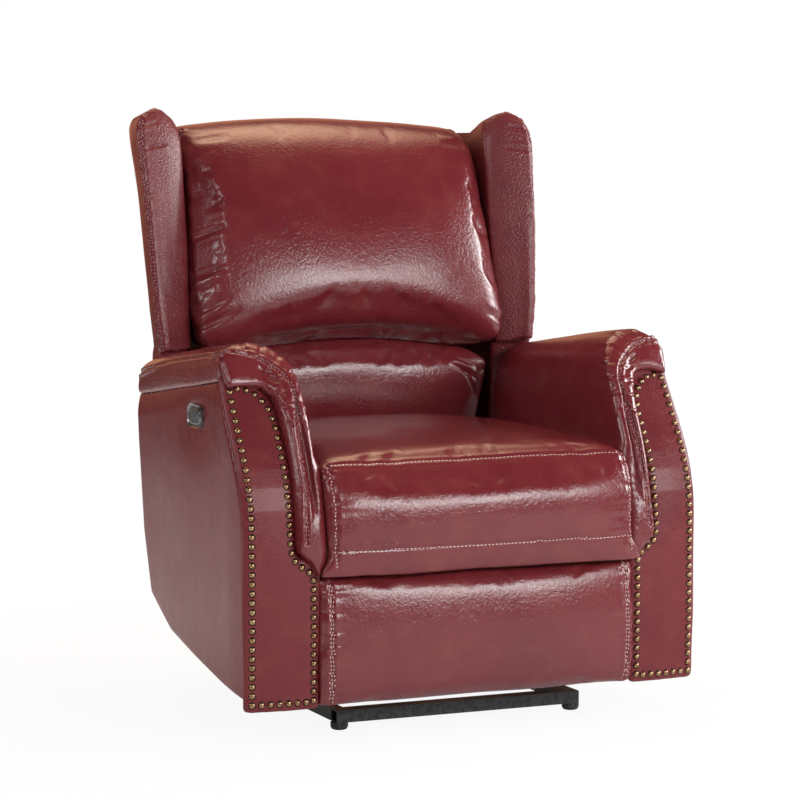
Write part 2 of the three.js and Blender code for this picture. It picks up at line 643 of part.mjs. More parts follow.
function panelInnerEdge(z) {
  const { panelFoot, panelInner } = ARM;
  const hook = smoothstep(z, 264, 300);
  const topTurn = Math.max(0, z - 500) / 56;
  return panelFoot + (panelInner - panelFoot) * hook + 44 * (1 - Math.sqrt(1 - Math.min(1, topTurn) ** 2));
}

function buildArmFrontPanels() {
  const levels = [62, 160, 264, 270, 276, 282, 288, 300, 330, 365, 400, 425, 450, 500, 520, 535, 546, 552];
  const edge = 4;
  const rings = levels.map((z, i) => {
    const inset = i === 0 || i === levels.length - 1 ? 2 : 0;
    const xi = panelInnerEdge(z) + inset;
    const xo = ARM.outer - inset;
    const face = (x, back) => [x, panelFace(x, z) + back, z];
    return [face(xi, edge + inset), face(xi + edge, inset), face((xi + xo) / 2, inset - 2),
      face(xo - edge, inset), face(xo, edge + inset), face(xo, ARM.panelThickness),
      face(xi, ARM.panelThickness)];
  });
  addPair('arm_front_panel', loft(rings), 'leather');
}

// Decorative nails as one strip of domes all round the front panel
function buildNailTrim() {
  const inset = 9;
  const outerLine = ARM.outer - inset;
  const innerLine = ARM.panelInner + 7;
  const footLine = ARM.panelFoot + inset;
  const corners = [
    [outerLine, 70], [outerLine, 300], [outerLine, 540], [outerLine - 8, 546], [350, 543], [332, 533],
    [319, 512], [innerLine, 488], [innerLine, 400], [innerLine, 308], [innerLine - 4, 290],
    [296, 276], [284, 268], [footLine, 256], [footLine, 160], [footLine, 70],
  ];
  const path = new THREE.CurvePath();
  corners.forEach(([x, z], i) => {
    const [nextX, nextZ] = corners[(i + 1) % corners.length];
    path.add(new THREE.LineCurve(new THREE.Vector2(x, z), new THREE.Vector2(nextX, nextZ)));
  });
  const pitch = 14.3;
  const dome = { half: 4.5, height: 3.6 };
  const neck = { half: 1.6, height: 0.8 };
  const count = Math.round(path.getLength() / pitch) * 2; // a dome and a neck for each nail
  const rings = [];
  for (let i = 0; i < count; i += 1) {
    const here = path.getPointAt(i / count);
    const before = path.getPointAt((i + count - 0.5) % count / count);
    const along = path.getPointAt((i + 0.5) / count).sub(before);
    const across = new THREE.Vector2(-along.y, along.x).normalize();
    const { half, height } = i % 2 ? neck : dome;
    const at = (distance, lift) => {
      const x = here.x + across.x * distance;
      const z = here.y + across.y * distance;
      return [x, panelFace(x, z) - 2.4 - lift, z];
    };
    rings.push([at(-half, 0), at(-half / 2, height), at(half / 2, height), at(half, 0)]);
  }
  addPair('nail_trim', loft(rings, true), 'antiqueBrass');
}

function buildArmPads() {
  const { inner, outer, panelInner, padBottom, bandBottom, crown, rear } = ARM;
  const innerWall = panelInner - 3 * GAP;
  const skin = [
    [outer + 2, bandBottom + 3], [outer + 4, 575], [outer - 2, 597], [outer - 9, 606], [364, 613],
    [342, crown], [318, crown - 2], [296, crown - 12], [279, crown - 30], [269, 560], [inner + 3, 520],
    [inner + 1, 460], [inner, 400], [inner + 1, 330], [inner + 2, 300], [inner + 5, 284],
    [inner + 10, padBottom],
  ];
  const tail = [[280, 279], [289, 285.5], [298, 292], [305, 300], [innerWall, 312], [innerWall - 0.6, 400]];
  // The pad fills the front panel's rounded corner, and is square above the wooden box behind it
  const corner = (s) => (s < 56
    ? [[innerWall - 0.4, 495], [innerWall + 4, 528], [innerWall + 20, bandBottom + 3], [360, bandBottom + 4]]
    : [[innerWall, 500], [innerWall + 0.6, 540], [innerWall + 3, bandBottom + 3], [360, bandBottom + 4]]);
  const section = (s, inset) => {
    const outline = [...skin, ...tail, ...corner(s)];
    const normals = outwardNormals(outline);
    return outline.map(([x, z], i) => {
      const rounding = inset * (0.3 + 0.7 * smoothstep(z, 290, 350)); // less in the thin lower end
      return [x - normals[i][0] * rounding, z - normals[i][1] * rounding];
    });
  };
  const length = rear - 1;
  const stations = [[0, 13], [4, 6], [12, 1.5], [26, 0], [54, 0], [66, 0], [110, 0], [200, 0], [300, 0],
    [400, 0], [480, 0], [502, 2], [length, 9]];
  const rings = stations.map(([s, inset]) => section(s, inset).map(([x, z]) => {
    const y = s + padFront(z) * (1 - s / length) ** 2;
    const lowered = smoothstep(z, 330, 560) * padFall(y);
    return [x, y, z - lowered];
  }));
  addPair('arm_pad', loft(rings), 'leather');
}

function buildArmBoxes() {
  const { outer, panelInner, rear, panelThickness, bandBottom } = ARM;
  const bandLine = (y) => bandBottom - 3 - padFall(y);
  const frontLine = (margin) => [70, 330, 370, 400, 425, 450, 500]
    .map((z) => [armFace(z) + panelThickness + margin, z]);
  const rearLine = [[rear, 486], [505, 430], [480, 283], [442, 182], [346, 133], [230, 106], [117, 84]];
  const sideOutline = [
    ...frontLine(GAP + 0.5), [armFace(535) + panelThickness + GAP, 535], [130, bandLine(130)],
    [300, bandLine(300)], [rear, bandLine(rear)], ...rearLine,
  ];
  const panel = plate(sideOutline, outer - 13, 12.5, [], 3);
  add('arm_side_panel_right', panel, 'leather');
  add('arm_side_panel_left', mirrored(cut(panel, controlOpening(outer - 20, 30))), 'leather');
  const boxOuter = outer - 13 - GAP;
  const boxOutline = [
    ...frontLine(3).slice(0, -1), [armFace(480) + panelThickness + 12, 480], [125, 525],
    [136, bandLine(136) - 6], [300, bandLine(300) - 3], [rear - 10, bandLine(rear) - 3],
    [rear - 10, 484], [495, 430], [470, 285], [433, 190], [342, 141], [228, 113], [117, 92],
  ];
  const windows = [
    [[60, 110], [60, 330], [95, 440], [240, 480], [240, 150]],
    [[270, 160], [270, 478], [455, 452], [440, 330], [395, 205]],
  ].map(polygon);
  const upper = plate(boxOutline, panelInner + 2, boxOuter - panelInner - 2, windows);
  const lower = plate([[16, 70], [117, 92], [228, 113], [342, 141], [425, 188], [440, 262], [16, 262]],
    272, panelInner - 268);
  const frame = cut(join(upper, lower), box(panelInner + 2, boxOuter - 30, 60, 240, 150, 330));
  add('arm_frame_right', frame, 'board');
  add('arm_frame_left', mirrored(cut(frame, controlOpening(outer - 45, 60))), 'board');
  buildControl(outer);
}

// Two-button switch on the outer side of the left arm. Drawn on the right side, then mirrored.
const CONTROL = { at: [215, 494], half: 34, radius: 19, lip: 3.5, button: [16, 15], spacing: 9.5 };

function pill(halfLength, radius) {
  const [y, z] = CONTROL.at;
  return barShape([y - halfLength + radius, z], [y + halfLength - radius, z], radius);
}

const controlOpening = (x, depth) =>
  plate(pill(CONTROL.half - CONTROL.lip + 0.5, CONTROL.radius - CONTROL.lip + 0.5), x, depth);

function buttonOutline(side, clearance) {
  const [y, z] = CONTROL.at;
  const [width, height] = CONTROL.button.map((size) => size / 2 + clearance);
  const middle = y + side * CONTROL.spacing;
  return [[middle - width, z - height], [middle + width, z - height],
    [middle + width, z + height], [middle - width, z + height]];
}

function buildControl(outer) {
  const { half, radius, lip } = CONTROL;
  const face = outer - 0.5 + GAP;
  const flange = plate(pill(half, radius), face, 3.5, [], 1);
  const body = plate(pill(half - lip, radius - lip), outer - 16, 17);
  const wells = [-1, 1].map((side) => plate(buttonOutline(side, 0.5), outer - 20, 30));
  add('control_bezel', mirrored(cut(join(flange, body), ...wells)), 'darkPlastic');
  for (const [name, side] of [['open_button', -1], ['close_button', 1]]) {
    add(name, mirrored(plate(buttonOutline(side, 0), outer - 12, 16, [], 1)), 'darkPlastic');
  }
}

buildBase();
buildTiltBrackets();
buildSidePlates();
buildFootrestLinkage();
buildActuator();
buildSeatFrame();
buildSeatCushion();
buildFootrest();
buildBackFrame();
buildBackPanel();
buildBackCushions();
buildWings();
buildArmFrontPanels();
buildNailTrim();
buildArmPads();
buildArmBoxes();

export default chair;
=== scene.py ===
"""A wingback power recliner in burgundy leather, with nail trim, a steel base and a two-button switch.

X runs across the chair, Y rearwards and Z up, in metres. "left" is the -X side, as seen from the front.
The listed seams and folds are written in millimetres in the same frame.
"""
import math

import bmesh
import bpy
import numpy as np
from mathutils import Matrix, Vector, noise
from mathutils.bvhtree import BVHTree


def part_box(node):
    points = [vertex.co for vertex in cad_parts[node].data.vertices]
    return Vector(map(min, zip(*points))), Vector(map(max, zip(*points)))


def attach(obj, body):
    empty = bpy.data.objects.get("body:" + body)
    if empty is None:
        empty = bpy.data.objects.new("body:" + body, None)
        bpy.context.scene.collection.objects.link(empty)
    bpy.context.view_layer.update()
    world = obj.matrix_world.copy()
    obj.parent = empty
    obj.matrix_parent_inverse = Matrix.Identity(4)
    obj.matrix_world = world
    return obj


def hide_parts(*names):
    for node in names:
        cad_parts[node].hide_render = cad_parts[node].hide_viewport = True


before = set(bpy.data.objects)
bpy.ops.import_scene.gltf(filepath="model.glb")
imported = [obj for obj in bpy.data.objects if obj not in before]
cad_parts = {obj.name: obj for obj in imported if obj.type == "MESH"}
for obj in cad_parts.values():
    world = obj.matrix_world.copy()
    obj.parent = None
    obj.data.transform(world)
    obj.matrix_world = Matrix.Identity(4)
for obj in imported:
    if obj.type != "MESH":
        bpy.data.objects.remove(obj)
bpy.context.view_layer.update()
scene = bpy.context.scene

MM = 0.001
SIDES = {"left": -1, "right": 1}
FRONT = (0, 1, 0)  # the way a ray runs that comes from the front of the chair
FRONT_TOP = (0, 1, -1)

# Leather
BURGUNDY = (0.146, 0.0165, 0.0215)
BURGUNDY_DEEP = (0.105, 0.012, 0.017)
BURGUNDY_RUBBED = (0.215, 0.045, 0.035)
COVER_THICKNESS = 2.2 * MM
CLOTH_PRESSURE = 4.0
CLOTH_FRAMES = 20

# Stitches and nails
STITCH_PITCH = 6.6 * MM
STITCH_LENGTH = 4.4 * MM
STITCH_THICKNESS = 1.5 * MM
STITCH_SINK = 0.35  # the share of a stitch that lies below the leather
NAIL_RADIUS = 4.7 * MM
NAIL_HEIGHT = 3.4 * MM
NAIL_RIM = 6.0 * MM
NAIL_PITCH = 14.3 * MM

# Solids, when they are copied
MERGE_DISTANCE = 0.05 * MM
SHARP_ANGLE = math.radians(38)


def new_piece(name, bm):
    """A new object with the faces of a bmesh."""
    mesh = bpy.data.meshes.new(name)
    bm.to_mesh(mesh)
    bm.free()
    piece = bpy.data.objects.new(name, mesh)
    scene.collection.objects.link(piece)
    return piece


# Shader nodes

def feed(tree, socket, value):
    """Links a socket to another one, or gives it a number, a vector or a colour."""
    if isinstance(value, bpy.types.NodeSocket):
        tree.links.new(value, socket)
    elif socket.type == "RGBA":
        socket.default_value = (*value, 1)
    else:
        socket.default_value = value


def add_node(tree, kind, *values, **labelled):
    """A new node. The values feed its first sockets in order, and labelled ones the sockets of that name."""
    node = tree.nodes.new(kind)
    for socket, value in zip(node.inputs, values):
        feed(tree, socket, value)
    for label, value in labelled.items():
        feed(tree, node.inputs[label.replace("_", " ")], value)
    return node


def math_node(tree, operation, *values):
    node = add_node(tree, "ShaderNodeMath", *values)
    node.operation = operation
    return node.outputs[0]


def noise_node(tree, vector, scale, detail=2.0, distortion=0.0):
    node = add_node(tree, "ShaderNodeTexNoise", Vector=vector, Scale=scale, Detail=detail,
                    Distortion=distortion)
    return node.outputs["Fac"]


def range_node(tree, value, low, high, to_low=0.0, to_high=1.0):
    node = add_node(tree, "ShaderNodeMapRange", Value=value, From_Min=low, From_Max=high, To_Min=to_low,
                    To_Max=to_high)
    node.interpolation_type = "SMOOTHSTEP"
    return node.outputs["Result"]


def mix_colour(tree, factor, first, second):
    """A Mix node for colours, whose sockets come after those for numbers and vectors."""
    node = tree.nodes.new("ShaderNodeMix")
    node.data_type = "RGBA"
    for number, value in ((0, factor), (6, first), (7, second)):
        feed(tree, node.inputs[number], value)
    return node.outputs[2]


def mix_shader(tree, factor, first, second):
    return add_node(tree, "ShaderNodeMixShader", factor, first, second).outputs[0]


def empty_tree(data):
    """The node tree of a lamp, world or material, with nothing in it yet."""
    data.use_nodes = True
    data.node_tree.nodes.clear()
    return data.node_tree


# Camera, light and floor

# The point that every lamp is aimed at
LIT_POINT = Vector((0, 0, 0.55))
FLOOR_HALF = 4.0


def build_camera():
    place = Vector((-1.8280, -4.2595, 0.8706))
    target = Vector((0.0, -0.0694, 0.494))
    data = bpy.data.cameras.new("camera")
    data.sensor_width = 36
    data.lens = 124.5
    camera = bpy.data.objects.new("camera", data)
    camera.location = place
    camera.rotation_euler = (target - place).to_track_quat("-Z", "Y").to_euler()
    scene.collection.objects.link(camera)
    scene.camera = camera


def softbox(name, place, width, height, power, colour=(1, 1, 1)):
    """A soft light whose panel is brightest in its middle and fades towards its edges."""
    data = bpy.data.lights.new(name, "AREA")
    data.shape = "RECTANGLE"
    data.size = width
    data.size_y = height
    data.energy = power
    data.color = colour
    tree = empty_tree(data)
    panel = add_node(tree, "ShaderNodeNewGeometry").outputs["Parametric"]
    parts = add_node(tree, "ShaderNodeSeparateXYZ", panel).outputs
    fades = []
    for part in parts[:2]:
        wave = math_node(tree, "SINE", math_node(tree, "MULTIPLY", part, math.pi))
        fades.append(math_node(tree, "MAXIMUM", wave, 0.0))
    lost_to_fades = (math.pi / 2) ** 2
    strength = math_node(tree, "MULTIPLY", math_node(tree, "MULTIPLY", *fades), lost_to_fades)
    glow = add_node(tree, "ShaderNodeEmission", Strength=strength).outputs[0]
    add_node(tree, "ShaderNodeOutputLight", Surface=glow)
    lamp = bpy.data.objects.new(name, data)
    lamp.location = place
    lamp.rotation_euler = (LIT_POINT - Vector(place)).to_track_quat("-Z", "Y").to_euler()
    lamp.visible_camera = False
    scene.collection.objects.link(lamp)


def build_lights():
    softbox("front_softbox", (1.3, -3.7, 1.65), width=3.5, height=1.4, power=106)
    softbox("right_softbox", (3.9, -0.5, 1.75), width=3.2, height=1.7, power=138)
    softbox("left_softbox", (-4.0, 0.4, 1.95), width=2.0, height=1.5, power=40)
    softbox("left_high_softbox", (-2.4, -1.9, 2.5), width=1.2, height=0.9, power=18)
    softbox("top_softbox", (0.3, 0.9, 2.9), width=2.6, height=2.2, power=42, colour=(1.0, 0.68, 0.44))
    softbox("warm_wall", (0.2, 3.4, 1.5), width=6.5, height=2.8, power=20, colour=(1.0, 0.42, 0.22))


def build_world():
    """White where the camera sees it, a pale room for light, and a dark one in what is glossy."""
    world = bpy.data.worlds.new("studio")
    tree = empty_tree(world)
    ray = add_node(tree, "ShaderNodeLightPath").outputs
    shown = math_node(tree, "MAXIMUM", ray["Is Camera Ray"], ray["Is Transmission Ray"])
    room, glossy_room, white = (
        add_node(tree, "ShaderNodeBackground", Color=colour, Strength=strength).outputs[0]
        for colour, strength in (((0.9, 0.92, 1.0), 0.24), ((1, 1, 1), 0.03), ((1, 1, 1), 1.0)))
    lit = mix_shader(tree, ray["Is Glossy Ray"], room, glossy_room)
    add_node(tree, "ShaderNodeOutputWorld", Surface=mix_shader(tree, shown, lit, white))
    scene.world = world


def build_floor():
    """A pale floor that takes shadows, runs out into white, and shows in glossy leather as partly white."""
    bm = bmesh.new()
    bmesh.ops.create_grid(bm, x_segments=1, y_segments=1, size=FLOOR_HALF)
    floor = new_piece("studio_floor", bm)
    material = bpy.data.materials.new("studio_floor")
    tree = empty_tree(material)
    pale = add_node(tree, "ShaderNodeBsdfDiffuse", Color=(0.9, 0.9, 0.9)).outputs[0]
    white = add_node(tree, "ShaderNodeEmission").outputs[0]
    ray = add_node(tree, "ShaderNodeLightPath").outputs
    place = add_node(tree, "ShaderNodeTexCoord").outputs["Object"]
    distance = add_node(tree, "ShaderNodeVectorMath", place)
    distance.operation = "LENGTH"
    far = range_node(tree, distance.outputs["Value"], 0.7, 1.3, 0.92, 1.0)
    shown = math_node(tree, "MULTIPLY", ray["Is Camera Ray"], far)
    depth = add_node(tree, "ShaderNodeSeparateXYZ", place).outputs["Y"]
    gleam = range_node(tree, depth, -0.5, 0.6, 0.1, 0.36)
    mirrored = math_node(tree, "MULTIPLY", ray["Is Glossy Ray"], gleam)
    share = math_node(tree, "MAXIMUM", shown, mirrored)
    add_node(tree, "ShaderNodeOutputMaterial", Surface=mix_shader(tree, share, pale, white))
    floor.data.materials.append(material)


# Material groups

def new_group(name, inputs, outputs):
    """A group with its sockets, each of them given as its name and kind."""
    group = bpy.data.node_groups.new(name, "ShaderNodeTree")
    for way, sockets in (("INPUT", inputs), ("OUTPUT", outputs)):
        for label, kind in sockets.items():
            group.interface.new_socket(label, in_out=way, socket_type=f"NodeSocket{kind}")
    return group, group.nodes.new("NodeGroupInput").outputs, group.nodes.new("NodeGroupOutput").inputs


def build_grain_group():
    """Leather grain: rounded cells with fine pores, as a height."""
    inputs = {"Vector": "Vector", "Cells": "Float"}
    group, given, result = new_group("leather_grain", inputs, {"Height": "Float"})
    cells = add_node(group, "ShaderNodeTexVoronoi", Vector=given["Vector"], Scale=given["Cells"])
    cells.feature = "SMOOTH_F1"
    cells.inputs["Smoothness"].default_value = 0.6
    rounded = math_node(group, "SUBTRACT", 1.0, cells.outputs["Distance"])
    pores = noise_node(group, given["Vector"], math_node(group, "MULTIPLY", given["Cells"], 1.9), 3)
    fine = math_node(group, "MULTIPLY", pores, 0.35)
    feed(group, result["Height"], math_node(group, "ADD", rounded, fine))
    return group


def build_tone_group():
    """Uneven dye: clouds of a deeper and a rubbed tone over the main one."""
    outputs = {"Color": "Color", "Cloud": "Float"}
    group, given, result = new_group("leather_tone", {"Vector": "Vector"}, outputs)
    cloud = noise_node(group, given["Vector"], 7.0, 2)
    patches = noise_node(group, given["Vector"], 26.0, 2)
    deep = range_node(group, cloud, 0.35, 0.8, 0, 0.5)
    rubbed = range_node(group, patches, 0.4, 0.9, 0, 0.35)
    first = mix_colour(group, deep, BURGUNDY, BURGUNDY_DEEP)
    feed(group, result["Color"], mix_colour(group, rubbed, first, BURGUNDY_RUBBED))
    feed(group, result["Cloud"], cloud)
    return group


def build_wear_group():
    """Lighter rims: a mask that is 1 on outward edges of a hard piece."""
    group, _, result = new_group("edge_wear", {}, {"Mask": "Float"})
    edges = add_node(group, "ShaderNodeNewGeometry").outputs["Pointiness"]
    mask = add_node(group, "ShaderNodeMapRange", Value=edges, From_Min=0.52, From_Max=0.6)
    feed(group, result["Mask"], mask.outputs["Result"])
    return group


GRAIN = build_grain_group()
TONE = build_tone_group()
WEAR = build_wear_group()


def place_group(tree, group, **links):
    node = tree.nodes.new("ShaderNodeGroup")
    node.node_tree = group
    for label, value in links.items():
        feed(tree, node.inputs[label], value)
    return node.outputs


# Materials

def new_material(name, **sockets):
    material = bpy.data.materials.new(name)
    material.use_nodes = True
    tree = material.node_tree
    shader = tree.nodes["Principled BSDF"]
    for label, value in sockets.items():
        feed(tree, shader.inputs[label.replace("_", " ")], value)
    return material, tree, shader, add_node(tree, "ShaderNodeTexCoord").outputs["Object"]


def add_bump(tree, shader, height, distance, strength=1.0, under=None):
    """A bump over the one under it, which the shader then shows."""
    bump = add_node(tree, "ShaderNodeBump", Height=height, Distance=distance, Strength=strength)
    if under is not None:
        feed(tree, bump.inputs["Normal"], under)
    feed(tree, shader.inputs["Normal"], bump.outputs["Normal"])
    return bump.outputs["Normal"]


def stretched(tree, place, scale):
    """Coordinates along which a pattern is drawn out."""
    return add_node(tree, "ShaderNodeMapping", Vector=place, Scale=scale).outputs["Vector"]


def leather(name, cells, grain_depth, roughness, coat, gloss=0.4, streaks=0.0, frizz=0.55 * MM):
    """Finished leather, with so many cells of grain to the metre.

    streaks is how strongly it was brushed along Z, and frizz how deep the creases of its top coat are.
    """
    material, tree, shader, place = new_material(
        name, Coat_Weight=coat, Coat_Roughness=0.13, Specular_IOR_Level=gloss)
    tone = place_group(tree, TONE, Vector=place)
    colour = tone["Color"]
    rough = range_node(tree, tone["Cloud"], 0.3, 0.7, roughness + 0.04, roughness - 0.03)
    if streaks:
        lines = noise_node(tree, stretched(tree, place, (1, 1, 0.03)), 90.0, 4)
        mask = range_node(tree, lines, 0.4, 0.72, 0, streaks)
        colour = mix_colour(tree, mask, colour, BURGUNDY_RUBBED)
        rough = math_node(tree, "ADD", rough, math_node(tree, "MULTIPLY", mask, 0.12))
    feed(tree, shader.inputs["Base Color"], colour)
    feed(tree, shader.inputs["Roughness"], rough)
    soft = add_bump(tree, shader, noise_node(tree, place, 34.0, 2), 1.0 * MM, 0.5)
    figure = add_bump(tree, shader, noise_node(tree, place, 190.0, 3, 0.3), frizz, under=soft)
    grain = place_group(tree, GRAIN, Vector=place, Cells=cells)
    add_bump(tree, shader, grain["Height"], grain_depth, under=figure)
    return material


def plain_finish(name, colour, worn, roughness, metallic, spots=120.0, bump=0.05 * MM):
    """A hard finish with worn edges and uneven gloss, in so many spots to the metre."""
    material, tree, shader, place = new_material(name, Metallic=metallic)
    edges = place_group(tree, WEAR)["Mask"]
    uneven = noise_node(tree, place, spots, 4)
    mask = math_node(tree, "MULTIPLY", edges, range_node(tree, uneven, 0.35, 0.6))
    shade = mix_colour(tree, range_node(tree, uneven, 0.3, 0.8, 0, 0.25), colour, worn)
    feed(tree, shader.inputs["Base Color"], mix_colour(tree, mask, shade, worn))
    rough = range_node(tree, uneven, 0.3, 0.7, roughness - 0.06, roughness + 0.08)
    feed(tree, shader.inputs["Roughness"], rough)
    if bump:
        add_bump(tree, shader, noise_node(tree, place, spots * 9, 2), bump)
    return material


def wood_board():
    """Plywood, whose figure runs across the chair."""
    material, tree, shader, place = new_material("plywood", Roughness=0.7)
    figure = noise_node(tree, stretched(tree, place, (0.12, 1, 1)), 60.0, 5, 1.2)
    colour = mix_colour(tree, range_node(tree, figure, 0.3, 0.7), (0.42, 0.25, 0.11), (0.58, 0.38, 0.19))
    feed(tree, shader.inputs["Base Color"], colour)
    add_bump(tree, shader, figure, 0.2 * MM, 0.6)
    return material


SMOOTH_LEATHER = leather("burgundy_leather", cells=520.0, grain_depth=0.22 * MM, roughness=0.2, coat=0.22,
                         gloss=0.46, frizz=0.72 * MM)
PANEL_LEATHER = leather("panel_leather", cells=560.0, grain_depth=0.34 * MM, roughness=0.36, coat=0.1,
                        gloss=0.24)
SIDE_LEATHER = leather("side_leather", cells=620.0, grain_depth=0.05 * MM, roughness=0.27, coat=0.1,
                       gloss=0.32, streaks=0.2, frizz=0.12 * MM)
PEBBLED_LEATHER = leather("pebbled_burgundy_leather", cells=290.0, grain_depth=0.9 * MM, roughness=0.4,
                          coat=0.1, frizz=0.3 * MM)

# Each hard finish has its name, its colour, its colour where worn, its roughness and how metallic it is
BLACK_STEEL = plain_finish("black_powder_coat", (0.012, 0.012, 0.013), (0.04, 0.04, 0.042), 0.46, 0.2)
ZINC = plain_finish("zinc_plated_steel", (0.42, 0.43, 0.45), (0.62, 0.62, 0.62), 0.36, 1.0)
BRASS = plain_finish("antique_brass", (0.22, 0.12, 0.055), (0.66, 0.46, 0.28), 0.27, 1.0, spots=300.0)
# Near-black discs under the nail heads: partly the brass's dark patina, partly painted shadow round each nail
PATINA_AND_SHADE_RIM = plain_finish("brass_patina_and_painted_shade", (0.02, 0.012, 0.008), (0.05, 0.03, 0.02), 0.5, 0.6)
SWITCH = plain_finish("gunmetal_switch", (0.17, 0.19, 0.20), (0.42, 0.45, 0.47), 0.24, 0.9, bump=0)
BUTTON = plain_finish("switch_button", (0.014, 0.015, 0.016), (0.22, 0.23, 0.24), 0.32, 0.0, bump=0)
MOTOR = plain_finish("moulded_black_plastic", (0.02, 0.02, 0.022), (0.05, 0.05, 0.05), 0.5, 0.0)
PINK_THREAD = plain_finish("pink_thread", (0.62, 0.40, 0.40), (0.8, 0.62, 0.6), 0.6, 0.0, spots=900.0)
DARK_THREAD = plain_finish("dark_red_thread", (0.28, 0.09, 0.10), (0.5, 0.28, 0.28), 0.5, 0.0, spots=900.0)
BOARD = wood_board()


# Points, paths and shares

def coordinates(vertices):
    flat = np.empty(len(vertices) * 3)
    vertices.foreach_get("co", flat)
    return flat.reshape(-1, 3)


def points_of(piece):
    return coordinates(piece.data.vertices)


def set_points(piece, points):
    piece.data.vertices.foreach_set("co", points.ravel())
    piece.data.update()


def normals_of(piece):
    flat = np.empty(len(piece.data.vertices) * 3)
    piece.data.vertex_normals.foreach_get("vector", flat)
    return flat.reshape(-1, 3)


def evaluated(piece):
    """The piece as its modifiers leave it."""
    graph = bpy.context.evaluated_depsgraph_get()
    graph.update()
    return piece.evaluated_get(graph)


def evaluated_points(piece):
    return coordinates(evaluated(piece).to_mesh().vertices)


def tree_of(piece):
    graph = bpy.context.evaluated_depsgraph_get()
    return BVHTree.FromObject(piece, graph)


def ramp(values, none, whole):
    """0 for values at none and beyond, 1 at whole and beyond, and a straight line between them."""
    return np.clip((values - none) / (whole - none), 0, 1)


def lengths_along(path):
    """The distance from the path's start to each of its points."""
    steps = np.linalg.norm(np.diff(path, axis=0), axis=1)
    return np.concatenate([[0], np.cumsum(steps)])


def sampled(guide, step=2 * MM):
    """Points every step along a smooth curve through the guide's points."""
    guide = np.array(guide, float)
    ends = np.vstack([2 * guide[0] - guide[1], guide, 2 * guide[-1] - guide[-2]])
    curve = []
    for p0, p1, p2, p3 in zip(ends, ends[1:], ends[2:], ends[3:]):
        count = max(2, int(np.linalg.norm(p2 - p1) / step))
        for t in np.arange(count) / count:
            curve.append(0.5 * (2 * p1 + (p2 - p0) * t + (2 * p0 - 5 * p1 + 4 * p2 - p3) * t ** 2
                                + (3 * p1 - p0 - 3 * p2 + p3) * t ** 3))
    curve.append(guide[-1])
    return np.array(curve)


def laid_on(piece, guide_mm, towards=None):
    """A path over the piece's surface: the guide's curve, cast one way or moved to the nearest point."""
    run_up = 0.5
    tree = tree_of(piece)
    path = []
    for point in sampled(np.array(guide_mm, float) * MM):
        start = Vector(point)
        if towards is None:
            hit = tree.find_nearest(start)[0]
        else:
            direction = Vector(towards).normalized()
            hit = tree.ray_cast(start - direction * run_up, direction)[0]
        if hit is not None:
            path.append(hit)
    return np.array(path)


def on_side(points, sign):
    """Points that were placed on the right side, on the side of the sign."""
    return [(sign * x, y, z) for x, y, z in points]


def on_both_sides(piece, guide_mm, towards):
    """A path on each side of the piece, its guide and direction given for the right side."""
    return {side: laid_on(piece, on_side(guide_mm, sign), *on_side([towards], sign))
            for side, sign in SIDES.items()}


def shifted(path, piece, offset):
    """The path moved sideways over the surface, as a row of stitches lies beside its seam."""
    tree = tree_of(piece)
    tangents = np.gradient(path, axis=0)
    moved = []
    for point, tangent in zip(path, tangents):
        spot, normal = tree.find_nearest(Vector(point))[:2]
        across = Vector(tangent).normalized().cross(normal)
        moved.append(tree.find_nearest(spot + across * offset)[0])
    return np.array(moved)


def near_path(piece_points, normals, path, reach):
    """The numbers of the points near a path, and their distances along it, across it and from it."""
    at_once = 4000
    low = path.min(0) - reach
    high = path.max(0) + reach
    near = np.flatnonzero(((piece_points > low) & (piece_points < high)).all(1))
    lengths = lengths_along(path)
    tangents = np.gradient(path, axis=0)
    tangents /= np.maximum(np.linalg.norm(tangents, axis=1, keepdims=True), 1e-9)
    chosen, along, across, distance = [], [], [], []
    for part in np.array_split(near, max(1, len(near) // at_once)):
        offsets = piece_points[part][:, None, :] - path[None, :, :]
        far = np.linalg.norm(offsets, axis=2)
        best = far.argmin(1)
        rows = np.arange(len(part))
        gap = far[rows, best]
        offset = offsets[rows, best]
        side = np.cross(tangents[best], normals[part])
        kept = gap < reach
        chosen.append(part[kept])
        along.append((lengths[best] + (offset * tangents[best]).sum(1))[kept])
        across.append((offset * side).sum(1)[kept])
        distance.append(gap[kept])
    return [np.concatenate(values) for values in (chosen, along, across, distance)]


# Skins: fine closed surfaces over the soft solids

def applied(piece):
    """Makes the piece's modifiers part of its mesh."""
    mesh = bpy.data.meshes.new_from_object(evaluated(piece))
    piece.modifiers.clear()
    old = piece.data
    piece.data = mesh
    mesh.name = old.name
    bpy.data.meshes.remove(old)
    return piece


def merged_copy(node):
    """A bmesh with the faces of a solid, its corners joined."""
    bm = bmesh.new()
    bm.from_mesh(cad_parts[node].data)
    bmesh.ops.remove_doubles(bm, verts=bm.verts, dist=MERGE_DISTANCE)
    return bm


def round_through_corners(piece):
    """Rounds the piece by subdivision, its corners moved out until the smooth surface nearly meets them."""
    levels = 2
    passes = 2
    share = 0.6  # of the way that is still missing, in each pass
    cage = piece.modifiers.new("rounding", "SUBSURF")
    cage.levels = cage.render_levels = levels
    wanted = points_of(piece)
    points = wanted.copy()
    for _ in range(passes):
        missing = wanted - evaluated_points(piece)[:len(wanted)]
        points += share * missing
        set_points(piece, points)


